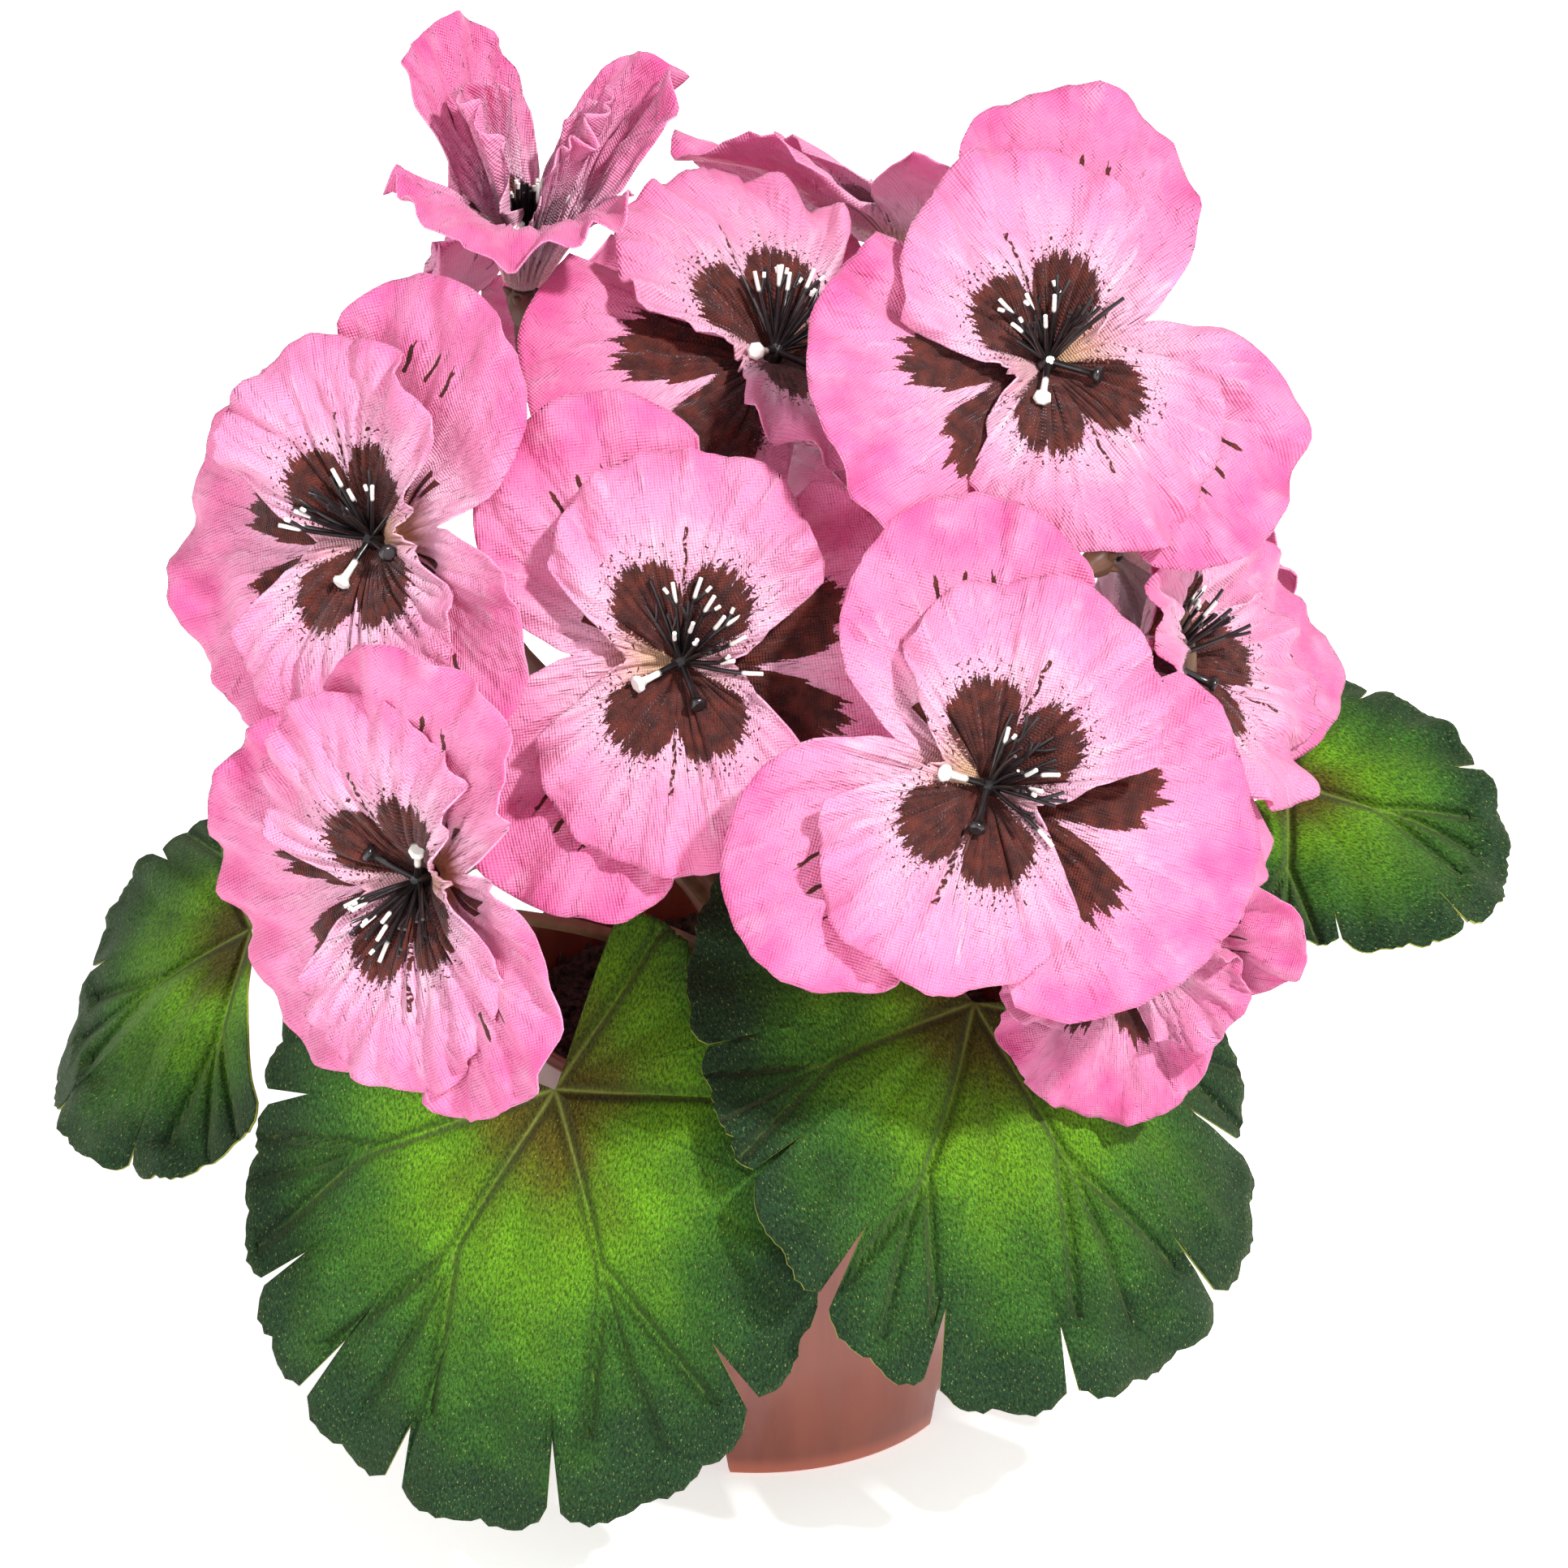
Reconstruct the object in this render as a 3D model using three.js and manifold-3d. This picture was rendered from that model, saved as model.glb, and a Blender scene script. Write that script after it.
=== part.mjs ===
// A small bush of cloth pansies in a moulded plastic pot, in millimetres, +Z up.
// The origin is on the floor under the middle of the plant's spread, and its front faces -Y. The sizes
// and places below are measured from the middle of the pot's foot, which MIDDLE moves to its place.
import * as THREE from "three";
import { mergeVertices } from "three/addons/utils/BufferGeometryUtils.js";
import Module from "manifold-3d";

const wasm = await Module();
wasm.setup();
const { Manifold } = wasm;

const MIDDLE = { x: -4, y: 5.4 };

// Pot: a tapered shell on a skirt that is notched into four feet, with a collar round the mouth.
const POT = {
  height: 72,
  footRadius: 33.5,
  mouthRadius: 41,
  wall: 1.6,
  collarHeight: 8,
  collarStep: 1.4,
  floorUnderside: 8,
  floorThickness: 1.8,
  sides: 32,
};
const NOTCH = { count: 4, widthDeg: 24, height: 5.8, firstDeg: 70 };

// Soil: the filling of the pot, with a crumbly top and plain holes for the trunk and the leaf stalks.
const SOIL = { top: 64, clearance: 0.4, sides: 28, crumb: 0.9, holeClearance: 0.35 };

// Stems: one moulded bush of branches that leave the trunk at its crown.
const TRUNK = { x: 3, y: 0, foot: 24, crown: 75, radius: 3.1 };
const BRANCH = { radius: 1.35, sides: 4, steps: 6, neck: 18, spread: 0.18 };
const CALYX = { length: 6, radius: 2.7, gap: 0.35 };

// Petals: a bloom is two die-cut sheets of cloth on one small hub. Each lobe is a round outline about its
// own middle, and the sheet is cut in with a V between lobes. Angles are in degrees from the bloom's
// right-hand side, with its crown at 90.
const CLOTH = { thickness: 0.7, shares: [0.4, 0.72, 1] };
const HUB = { radius: 2.3, foot: -1.2, top: 3.2, sides: 8 };
const BACK_SHEET = {
  height: 0,
  flat: 3.2,
  lobes: [
    { name: "upper right", from: -17, to: 90, axis: 33, offset: 24, radius: 20.5, columns: 6 },
    { name: "upper left", from: 90, to: 197, axis: 147, offset: 24, radius: 20.5, columns: 6 },
    { name: "lip", from: 197, to: 343, axis: 270, offset: 13, radius: 30, columns: 8 },
  ],
  notches: [
    { at: 90, depth: 18, half: 30 },
    { at: 197, depth: 14, half: 26 },
    { at: 343, depth: 14, half: 26 },
  ],
};
const FRONT_SHEET = {
  height: 1.7,
  flat: 1.7,
  lobes: [
    { name: "side right", from: -90, to: 90, axis: 0, offset: 12, radius: 23, columns: 10 },
    { name: "side left", from: 90, to: 270, axis: 180, offset: 12, radius: 23, columns: 10 },
  ],
  notches: [
    { at: 90, depth: 9.5, half: 46 },
    { at: 270, depth: 9.5, half: 46 },
  ],
};
// How far each petal rolls back along its length, in degrees, in the order of the lifts below.
const ROLL = [-40, -40, -36, -60, -60];
const WAVE = { height: 1.2, spread: 1.2, count: 2 };

// Stamens: a black plastic spray with two knobbed threads, standing on the hub.
const SPRAY = { threads: 5, length: 15, foot: 0.45, tip: 0.26, fanDeg: 110, lowDeg: 42, highDeg: 62 };
const SPRAY_BASE = { radius: 1.4, height: 1.3, gap: 0.35, sides: 5 };
const KNOB = { length: 8, radius: 0.85, riseDeg: 46 };

// Leaves: round cloth leaves with slit margins, each on a stalk that stands in the soil.
const LEAF = { thickness: 0.8, reach: 62, narrowing: 0.32, slitDeg: 1.6, slitShare: 0.78, corner: 0.95, arch: 0.0022 };
const LEAF_SHARES = [0.34, 0.7, 1];
const STALK = { radius: 1.15, sides: 4, steps: 6, foot: 44, bendFrom: 66.5, ring: 9.5 };

// Each bloom: where its middle is, the way it faces (degrees right of the front, degrees above level),
// where its crown petals point and its stamens lean on its own face (degrees from its right-hand side),
// and how far each petal lifts off its plane: upper right, upper left, lip, side right, side left.
// A bloom that isn't open as the others has its own rolls and a steeper spray, a crumpled one has a
// smaller size, and some branches have their own neck behind the bloom or spread from the trunk.
const BLOOMS = [
  { name: "middle", at: [-11, -40, 148], face: [-3, 27], crown: 178, spray: 60, lift: [24, 24, 16, 42, 42] },
  {
    name: "front_right", at: [35, -63, 138.5], face: [4, 30], crown: 152, spray: 15,
    lift: [26, 26, 16, 42, 42], neck: 12,
  },
  {
    name: "upper_right", at: [44, -18, 187.5], face: [16, 36], crown: 15, spray: 92,
    lift: [28, 24, 34, 44, 46], spread: 1,
  },
  { name: "upper_left", at: [-57, -22, 160], face: [-36, 24], crown: 20, spray: 120, lift: [34, 30, 10, 46, 50] },
  { name: "lower_left", at: [-49, -60, 122], face: [-36, 10], crown: 24, spray: 275, lift: [42, 40, 16, 52, 52] },
  { name: "top_middle", at: [2, 6, 177], face: [40, 56], crown: 0, spray: 40, lift: [14, 6, 14, 52, 38] },
  {
    name: "top_left", at: [-36, 18.5, 185.5], face: [40, 84], crown: 40, spray: 50,
    lift: [68, 72, 78, 78, 80], roll: [-14, -24, -84, -10, -16], steep: 34,
  },
  { name: "right", at: [60.5, -18, 136.5], face: [74, 20], crown: 30, spray: 60, lift: [40, 40, 34, 54, 54] },
  {
    name: "lower_right", at: [56, -36, 102.5], face: [6, -6], crown: 75, spray: 90,
    lift: [62, 50, 62, 74, 64], roll: [-50, -50, -50, -50, -50], steep: 28, size: 0.78,
  },
  { name: "back_top", at: [26, 40, 178], face: [150, 50], crown: 80, spray: 60, lift: [28, 28, 20, 44, 44] },
  { name: "back_left", at: [-56, 39, 152], face: [-118, 30], crown: 60, spray: 90, lift: [28, 28, 20, 44, 44] },
  { name: "back_middle", at: [-8, 66, 140], face: [182, 26], crown: 100, spray: 60, lift: [28, 28, 20, 44, 44] },
  { name: "back_right", at: [58, 46, 126], face: [128, 16], crown: 70, spray: 90, lift: [28, 28, 20, 44, 44] },
];

// Each leaf: where its blade starts, the way it points (degrees right of the front), how far it droops
// and rolls, its share of the full size, and how much it bends and waves.
const LEAVES = [
  {
    name: "front_left", at: [-31, -46, 77], heading: -22, droop: 56, roll: -6, size: 1.11, bend: 14, wave: 1.5,
    slits: [-118, -78, -44, -11, 12, 30, 47, 78, 100],
  },
  {
    name: "front_right", at: [34, -38, 88], heading: 28, droop: 42, roll: -3, size: 1.05, bend: 22, wave: 2.5,
    slits: [-80, -54, -26, 3, 24, 45, 69, 97, 140], arch: 0.004,
  },
  {
    name: "left", at: [-80, -6, 84], heading: -72, droop: 42, roll: -10, size: 0.73, bend: 16, wave: 2.5,
    slits: [-62, -20, 6, 45, 80, 118],
  },
  {
    name: "right", at: [84, 0, 107], heading: 76, droop: 16, roll: 20, size: 0.62, bend: 20, wave: 2,
    slits: [-120, -75, -36, 18, 55, 90, 120],
  },
  {
    name: "back_right", at: [50, 34, 92], heading: 128, droop: 16, roll: 0, size: 0.8, bend: 26, wave: 2.5,
    slits: [-130, -90, -55, -20, 15, 50, 85, 130],
  },
  {
    name: "back_left", at: [-36, 38, 88], heading: -138, droop: 36, roll: 0, size: 0.9, bend: 24, wave: 2.5,
    slits: [-130, -90, -60, -28, 6, 40, 75, 130],
  },
  {
    name: "back_middle", at: [12, 46, 84], heading: 176, droop: 46, roll: 0, size: 0.9, bend: 24, wave: 2.5,
    slits: [-130, -90, -56, -20, 12, 48, 80, 112],
  },
];

const COLOURS = {
  petal: { color: "#f79ac6", roughness: 0.75, metalness: 0 },
  stamen: { color: "#17130f", roughness: 0.35, metalness: 0 },
  leaf: { color: "#3f7a22", roughness: 0.8, metalness: 0 },
  stem: { color: "#7a5c44", roughness: 0.6, metalness: 0 },
  soil: { color: "#3a2a22", roughness: 0.95, metalness: 0 },
  pot: { color: "#a3553f", roughness: 0.35, metalness: 0 },
};

const rad = THREE.MathUtils.degToRad;
const mix = THREE.MathUtils.lerp;
const UP = new THREE.Vector3(0, 0, 1);
const vec = (a) => new THREE.Vector3(...a);

// A number from 0 to 1 that is always the same for the same pair.
function chance(a, b) {
  const x = Math.sin(a * 12.9898 + b * 78.233) * 43758.5453;
  return x - Math.floor(x);
}

// A closed geometry as a solid, and a solid as a geometry.
function solid(geometry) {
  const bare = geometry.clone();
  for (const name of Object.keys(bare.attributes)) if (name !== "position") bare.deleteAttribute(name);
  const merged = mergeVertices(bare, 1e-4);
  return new Manifold(
    new wasm.Mesh({
      numProp: 3,
      vertProperties: new Float32Array(merged.attributes.position.array),
      triVerts: new Uint32Array(merged.index.array),
    }),
  );
}

function geometryOf(made) {
  const mesh = made.getMesh();
  const geometry = new THREE.BufferGeometry();
  geometry.setAttribute("position", new THREE.BufferAttribute(mesh.vertProperties, 3));
  geometry.setIndex(new THREE.BufferAttribute(mesh.triVerts, 1));
  geometry.computeVertexNormals();
  return geometry;
}

const joined = (solids) => solids.reduce((all, one) => all.add(one));

const part = new THREE.Group();
part.name = "potted_pansy";

function piece(name, geometry, look, matrix) {
  const mesh = new THREE.Mesh(geometry, new THREE.MeshStandardMaterial(COLOURS[look]));
  mesh.name = name;
  if (matrix) mesh.applyMatrix4(matrix);
  mesh.position.add(new THREE.Vector3(MIDDLE.x, MIDDLE.y, 0));
  part.add(mesh);
  return mesh;
}

// A thin closed sheet whose middle surface is point(column, ring): columns round one start point, each
// running out to its edge through its rings. Ring k has only every strides[k]th column, and a stride is
// the same as the next one or twice it. A full fan closes on itself. Both faces are split alike.
function fanSheet({ columns, strides, point, thickness, full }) {
  const places = new Map();
  const mids = [point(0, -1)];
  strides.forEach((stride, ring) => {
    for (let c = 0; c < (full ? columns : columns + 1); c += stride) {
      places.set(`${ring} ${c}`, mids.length);
      mids.push(point(c, ring));
    }
  });
  const at = (c, ring) => places.get(`${ring} ${full ? c % columns : c}`);
  const faces = [];
  for (let c = 0; c < columns; c += strides[0]) faces.push([0, at(c, 0), at(c + strides[0], 0)]);
  for (let ring = 1; ring < strides.length; ring++) {
    const [inner, outer] = [strides[ring - 1], strides[ring]];
    for (let c = 0; c < columns; c += inner) {
      faces.push([at(c, ring - 1), at(c, ring), at(c + outer, ring)]);
      faces.push([at(c, ring - 1), at(c + outer, ring), at(c + inner, ring - 1)]);
      if (inner > outer) faces.push([at(c + inner, ring - 1), at(c + outer, ring), at(c + inner, ring)]);
    }
  }
  const normals = mids.map(() => new THREE.Vector3());
  for (const [a, b, c] of faces) {
    const n = mids[b].clone().sub(mids[a]).cross(mids[c].clone().sub(mids[a]));
    for (const k of [a, b, c]) normals[k].add(n);
  }
  normals.forEach((n) => n.normalize());
  const positions = [];
  for (const side of [0.5, -0.5]) {
    mids.forEach((m, k) => positions.push(...m.clone().addScaledVector(normals[k], side * thickness)));
  }
  const under = mids.length;
  const index = [];
  for (const [a, b, c] of faces) index.push(a, b, c, under + a, under + c, under + b);
  const rim = [];
  const last = strides.length - 1;
  for (let c = 0; c < columns; c++) rim.push([at(c, last), at(c + 1, last)]);
  if (!full) {
    const edge = (c) => [0, ...strides.map((_, ring) => at(c, ring))];
    for (const path of [edge(0), edge(columns).reverse()]) {
      for (let k = 1; k < path.length; k++) rim.push([path[k - 1], path[k]]);
    }
  }
  for (const [a, b] of rim) index.push(a, under + a, b, b, under + a, under + b);
  const geometry = new THREE.BufferGeometry();
  geometry.setAttribute("position", new THREE.Float32BufferAttribute(positions, 3));
  geometry.setIndex(index);
  return geometry;
}

// A round rod of few sides along a curve.
function rod(curve, radius, sides, steps) {
  const ring = Array.from({ length: sides }, (_, k) => {
    const turn = (2 * Math.PI * k) / sides;
    return new THREE.Vector2(radius * Math.cos(turn), radius * Math.sin(turn));
  });
  return new THREE.ExtrudeGeometry(new THREE.Shape(ring), { steps, bevelEnabled: false, extrudePath: curve });
}

// A straight tapered thread from a point along a direction.
function thread(from, direction, length, foot, tip, sides = 3) {
  const geometry = new THREE.CylinderGeometry(tip, foot, length, sides);
  geometry.translate(0, length / 2, 0);
  geometry.applyQuaternion(new THREE.Quaternion().setFromUnitVectors(new THREE.Vector3(0, 1, 0), direction));
  return geometry.translate(from.x, from.y, from.z);
}

// A bloom's own frame: +Z is the way it faces and +Y the way its crown petals point.
function bloomFrame(bloom) {
  const [turn, rise] = bloom.face.map(rad);
  const facing = new THREE.Vector3(
    Math.sin(turn) * Math.cos(rise),
    -Math.cos(turn) * Math.cos(rise),
    Math.sin(rise),
  );
  const up = UP.clone().addScaledVector(facing, -facing.dot(UP)).normalize();
  const right = up.clone().cross(facing);
  const crown = rad(bloom.crown);
  const y = right.multiplyScalar(Math.cos(crown)).addScaledVector(up, Math.sin(crown));
  const x = y.clone().cross(facing);
  for (const axis of [x, y, facing]) axis.multiplyScalar(bloom.size ?? 1);
  return new THREE.Matrix4().makeBasis(x, y, facing).setPosition(...bloom.at);
}

// How far a sheet's edge lies from the bloom's middle, at an angle in degrees inside one lobe.
function sheetEdge(sheet, lobe, angle) {
  const off = rad(angle - lobe.axis);
  const side = lobe.offset * Math.sin(off);
  let edge = lobe.offset * Math.cos(off) + Math.sqrt(Math.max(0, lobe.radius ** 2 - side ** 2));
  for (const notch of sheet.notches) {
    const gap = Math.abs(THREE.MathUtils.euclideanModulo(angle - notch.at + 180, 360) - 180);
    if (gap < notch.half - 1) {
      edge = Math.min(edge, (notch.depth * Math.sin(rad(notch.half))) / Math.sin(rad(notch.half - gap)));
    }
  }
  return edge;
}

// A point of a sheet's middle surface, at an angle and a length s along the cloth from the bloom's
// middle. The cloth lies flat on the hub, leaves it at the lobe's lift and rolls back along an arc, and
// its edge waves.
function sheetPoint(bloomIndex, sheet, { lifts, rolls }, lobeIndex, angle, s) {
  const { lobes } = sheet;
  const lobe = lobes[lobeIndex];
  const across = (2 * (angle - lobe.from)) / (lobe.to - lobe.from) - 1;
  const besideIndex = (lobeIndex + (across < 0 ? -1 : 1) + lobes.length) % lobes.length;
  const shared = 0.5 * Math.abs(across) ** 3;
  const lift = rad(mix(lifts[lobeIndex], lifts[besideIndex], shared));
  const roll = rad(mix(rolls[lobeIndex], rolls[besideIndex], shared));
  const reach = lobe.offset + lobe.radius;
  const bend = roll / reach;
  const free = Math.max(0, s - sheet.flat);
  const out = Math.min(s, sheet.flat) + (Math.sin(lift + bend * free) - Math.sin(lift)) / bend;
  const rise = (Math.cos(lift) - Math.cos(lift + bend * free)) / bend;
  const phase = 2 * Math.PI * chance(bloomIndex, lobeIndex + 10 * sheet.height + 1);
  const height = WAVE.height + WAVE.spread * chance(bloomIndex, lobeIndex + 10 * sheet.height + 5);
  const fade = 1 - across ** 6;
  const wave = height * fade * (s / reach) ** 2 * Math.sin(WAVE.count * Math.PI * across + phase);
  const turn = rad(angle);
  return new THREE.Vector3(out * Math.cos(turn), out * Math.sin(turn), sheet.height + rise + wave);
}

function sheetGeometry(bloomIndex, sheet, shape) {
  const places = [];
  sheet.lobes.forEach(({ from, to, columns }, lobe) => {
    for (let k = 0; k < columns; k++) places.push({ lobe, angle: mix(from, to, k / columns) });
  });
  return fanSheet({
    columns: places.length,
    strides: [4, 2, 1, 1],
    thickness: CLOTH.thickness,
    full: true,
    point: (c, ring) => {
      const { lobe, angle } = places[c];
      if (ring < 1) return sheetPoint(bloomIndex, sheet, shape, lobe, angle, (ring + 1) * sheet.flat);
      const s = CLOTH.shares[ring - 1] * sheetEdge(sheet, sheet.lobes[lobe], angle);
      return sheetPoint(bloomIndex, sheet, shape, lobe, angle, s);
    },
  });
}

function petals(bloom, bloomIndex) {
  const hub = new THREE.CylinderGeometry(HUB.radius, HUB.radius, HUB.top - HUB.foot, HUB.sides);
  hub.rotateX(Math.PI / 2).translate(0, 0, (HUB.top + HUB.foot) / 2);
  const shape = (from, to) => ({ lifts: bloom.lift.slice(from, to), rolls: (bloom.roll ?? ROLL).slice(from, to) });
  const back = sheetGeometry(bloomIndex, BACK_SHEET, shape(0, 3));
  const front = sheetGeometry(bloomIndex, FRONT_SHEET, shape(3, 5));
  return joined([solid(back), solid(front), solid(hub)]);
}

// The spray leans one way, and its two knobbed threads stand out on the other side.
function stamens(bloom, bloomIndex) {
  const foot = HUB.top + SPRAY_BASE.gap;
  const base = new THREE.CylinderGeometry(SPRAY_BASE.radius, SPRAY_BASE.radius, SPRAY_BASE.height, SPRAY_BASE.sides);
  base.rotateX(Math.PI / 2).translate(0, 0, foot + SPRAY_BASE.height / 2);
  const solids = [solid(base)];
  const lean = bloom.spray - bloom.crown + 90;
  const from = (turn) => new THREE.Vector3(0.7 * Math.cos(turn), 0.7 * Math.sin(turn), foot + 0.6);
  const steep = bloom.steep ?? 0;
  const along = (turn, rise) =>
    new THREE.Vector3(Math.cos(turn) * Math.cos(rise), Math.sin(turn) * Math.cos(rise), Math.sin(rise));
  for (let k = 0; k < SPRAY.threads; k++) {
    const turn = rad(lean + SPRAY.fanDeg * (k / (SPRAY.threads - 1) - 0.5));
    const rise = rad(mix(SPRAY.lowDeg, SPRAY.highDeg, k % 2) + steep + 8 * chance(bloomIndex, k + 20));
    const length = SPRAY.length * (0.8 + 0.25 * chance(bloomIndex, k + 40));
    solids.push(solid(thread(from(turn), along(turn, rise), length, SPRAY.foot, SPRAY.tip)));
  }
  for (const side of [150, 235]) {
    const turn = rad(lean + side);
    const direction = along(turn, rad(KNOB.riseDeg + steep));
    const tip = from(turn).addScaledVector(direction, KNOB.length);
    solids.push(solid(thread(from(turn), direction, KNOB.length, SPRAY.foot, SPRAY.foot)));
    solids.push(solid(new THREE.OctahedronGeometry(KNOB.radius).translate(...tip)));
  }
  return joined(solids);
}

BLOOMS.forEach((bloom, k) => {
  const frame = bloomFrame(bloom);
  piece(`petals_${bloom.name}`, geometryOf(petals(bloom, k)), "petal", frame);
  piece(`stamens_${bloom.name}`, geometryOf(stamens(bloom, k)), "stamen", frame);
});

// The bush: a trunk in the soil, and a branch to each bloom that ends in a flared calyx.
function branchCurve(bloom) {
  const frame = bloomFrame(bloom);
  const facing = new THREE.Vector3().setFromMatrixColumn(frame, 2);
  const end = vec(bloom.at).addScaledVector(facing, HUB.foot - CALYX.gap - CALYX.length + 1);
  const start = new THREE.Vector3(TRUNK.x, TRUNK.y, TRUNK.crown - 2);
  const spread = end.clone().sub(start).setZ(0).multiplyScalar(bloom.spread ?? BRANCH.spread);
  const rise = (end.z - start.z) * 0.5;
  const first = start.clone().add(spread).setZ(start.z + rise);
  const second = end.clone().addScaledVector(facing, -(bloom.neck ?? BRANCH.neck));
  return new THREE.CubicBezierCurve3(start, first, second, end);
}

function calyx(bloom) {
  const { length, radius } = CALYX;
  const profile = [
    [0, 0],
    [BRANCH.radius * 1.1, 0],
    [radius, length * 0.6],
    [radius * 0.8, length],
    [0, length],
  ].map(([r, z]) => new THREE.Vector2(r, z));
  const geometry = new THREE.LatheGeometry(profile, 6);
  geometry.rotateX(Math.PI / 2).translate(0, 0, HUB.foot - CALYX.gap - length);
  return geometry.applyMatrix4(bloomFrame(bloom));
}

function stems() {
  const height = TRUNK.crown - TRUNK.foot;
  const trunk = new THREE.CylinderGeometry(TRUNK.radius * 1.15, TRUNK.radius, height, 10);
  trunk.rotateX(Math.PI / 2).translate(TRUNK.x, TRUNK.y, TRUNK.foot + height / 2);
  const solids = [solid(trunk)];
  for (const bloom of BLOOMS) {
    solids.push(solid(rod(branchCurve(bloom), BRANCH.radius, BRANCH.sides, BRANCH.steps)));
    solids.push(solid(calyx(bloom)));
  }
  return joined(solids);
}
piece("stems", geometryOf(stems()), "stem");

// A leaf's own frame: +Y runs from its stalk to its tip and +Z is its upper face.
function leafFrame(leaf) {
  const heading = rad(leaf.heading);
  const droop = rad(leaf.droop);
  const out = new THREE.Vector3(Math.sin(heading), -Math.cos(heading), 0);
  const y = out.clone().multiplyScalar(Math.cos(droop)).addScaledVector(UP, -Math.sin(droop));
  const z = out.clone().multiplyScalar(Math.sin(droop)).addScaledVector(UP, Math.cos(droop));
  z.applyAxisAngle(y, rad(leaf.roll));
  const x = y.clone().cross(z);
  return new THREE.Matrix4().makeBasis(x, y, z).setPosition(...leaf.at);
}

// A point of a leaf's middle surface, at an angle from the midrib and a share of the way to the margin.
function leafPoint(leaf, leafIndex, { angle, edge }, share) {
  const reach = LEAF.reach * leaf.size;
  const round = 1 - 0.5 * LEAF.narrowing * (1 - Math.cos(1.9 * Math.min(95, Math.abs(angle)) * (Math.PI / 180)));
  const s = share * edge * reach * round;
  const turn = rad(angle);
  const bend = rad(leaf.bend) / reach;
  const along = s * Math.cos(turn);
  const x = s * Math.sin(turn);
  const y = Math.sin(bend * along) / bend;
  const arch = -(1 - Math.cos(bend * along)) / bend - (leaf.arch ?? LEAF.arch) * x * x;
  const phase = 2 * Math.PI * chance(leafIndex, 3);
  const wave = leaf.wave * (s / reach) ** 2 * Math.sin(4.6 * turn + phase);
  return new THREE.Vector3(x, y, arch + wave);
}

// The columns of a leaf: three round each slit, and one in the middle of each lobe between.
function leafColumns(leaf) {
  const stops = leaf.slits;
  const columns = [];
  stops.forEach((stop, k) => {
    if (k === 0 || k === stops.length - 1) columns.push({ angle: stop, edge: LEAF.corner });
    else {
      for (const side of [-1, 0, 1]) {
        columns.push({ angle: stop + side * LEAF.slitDeg, edge: side === 0 ? LEAF.slitShare : LEAF.corner });
      }
    }
    if (k < stops.length - 1) columns.push({ angle: (stop + stops[k + 1]) / 2, edge: 1 });
  });
  return columns.reverse();
}

// A stalk stands straight in the soil beside the trunk, and bends over above it to end in the blade.
function stalkFoot(leaf) {
  const heading = Math.atan2(leaf.at[1] - TRUNK.y, leaf.at[0] - TRUNK.x);
  return new THREE.Vector3(
    TRUNK.x + STALK.ring * Math.cos(heading),
    TRUNK.y + STALK.ring * Math.sin(heading),
    STALK.foot,
  );
}

function stalkSolid(leaf) {
  const y = new THREE.Vector3().setFromMatrixColumn(leafFrame(leaf), 1);
  const foot = stalkFoot(leaf);
  const start = foot.clone().setZ(STALK.bendFrom);
  const end = vec(leaf.at).addScaledVector(y, 7);
  const first = foot.clone().setZ(Math.max(end.z, 84));
  const second = vec(leaf.at).addScaledVector(y, -14);
  const bend = new THREE.CubicBezierCurve3(start, first, second, end);
  const height = STALK.bendFrom + 0.6 - STALK.foot;
  const peg = new THREE.CylinderGeometry(STALK.radius * 1.12, STALK.radius * 1.12, height, 6);
  peg.rotateX(Math.PI / 2).translate(foot.x, foot.y, STALK.foot + height / 2);
  return solid(peg).add(solid(rod(bend, STALK.radius, STALK.sides, STALK.steps)));
}

function leafSolid(leaf, leafIndex) {
  const places = leafColumns(leaf);
  const blade = fanSheet({
    columns: places.length - 1,
    strides: [2, 1, 1],
    thickness: LEAF.thickness,
    full: false,
    point: (c, ring) => leafPoint(leaf, leafIndex, places[c], ring < 0 ? 0 : LEAF_SHARES[ring]),
  });
  blade.applyMatrix4(leafFrame(leaf));
  return solid(blade).add(stalkSolid(leaf));
}
LEAVES.forEach((leaf, k) => piece(`leaf_${leaf.name}`, geometryOf(leafSolid(leaf, k)), "leaf"));

// The pot's outer radius at a height.
const potRadius = (z) => mix(POT.footRadius, POT.mouthRadius, z / POT.height);

function pot() {
  const { height, wall, collarHeight, collarStep, floorUnderside, floorThickness } = POT;
  const collarFoot = height - collarHeight;
  const floorTop = floorUnderside + floorThickness;
  const profile = [
    [0, floorUnderside],
    [potRadius(floorUnderside) - wall, floorUnderside],
    [POT.footRadius - wall, 0],
    [POT.footRadius, 0],
    [potRadius(collarFoot), collarFoot],
    [potRadius(collarFoot) + collarStep, collarFoot + 1],
    [potRadius(height) + collarStep - 0.5, height - 0.6],
    [potRadius(height) + 0.4, height],
    [potRadius(height) - wall, height],
    [potRadius(floorTop) - wall, floorTop],
    [0, floorTop],
  ].map(([r, z]) => new THREE.Vector2(r, z));
  const shell = new THREE.LatheGeometry(profile, POT.sides).rotateX(Math.PI / 2);
  const notches = Array.from({ length: NOTCH.count }, (_, k) => {
    const width = 2 * POT.footRadius * Math.sin(rad(NOTCH.widthDeg / 2));
    const cutter = new THREE.BoxGeometry(12, width, 2 * NOTCH.height).translate(POT.footRadius, 0, 0);
    return solid(cutter.rotateZ(rad(NOTCH.firstDeg - 90 + (360 * k) / NOTCH.count)));
  });
  return notches.reduce((body, cutter) => body.subtract(cutter), solid(shell));
}
piece("pot", geometryOf(pot()), "pot");

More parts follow.
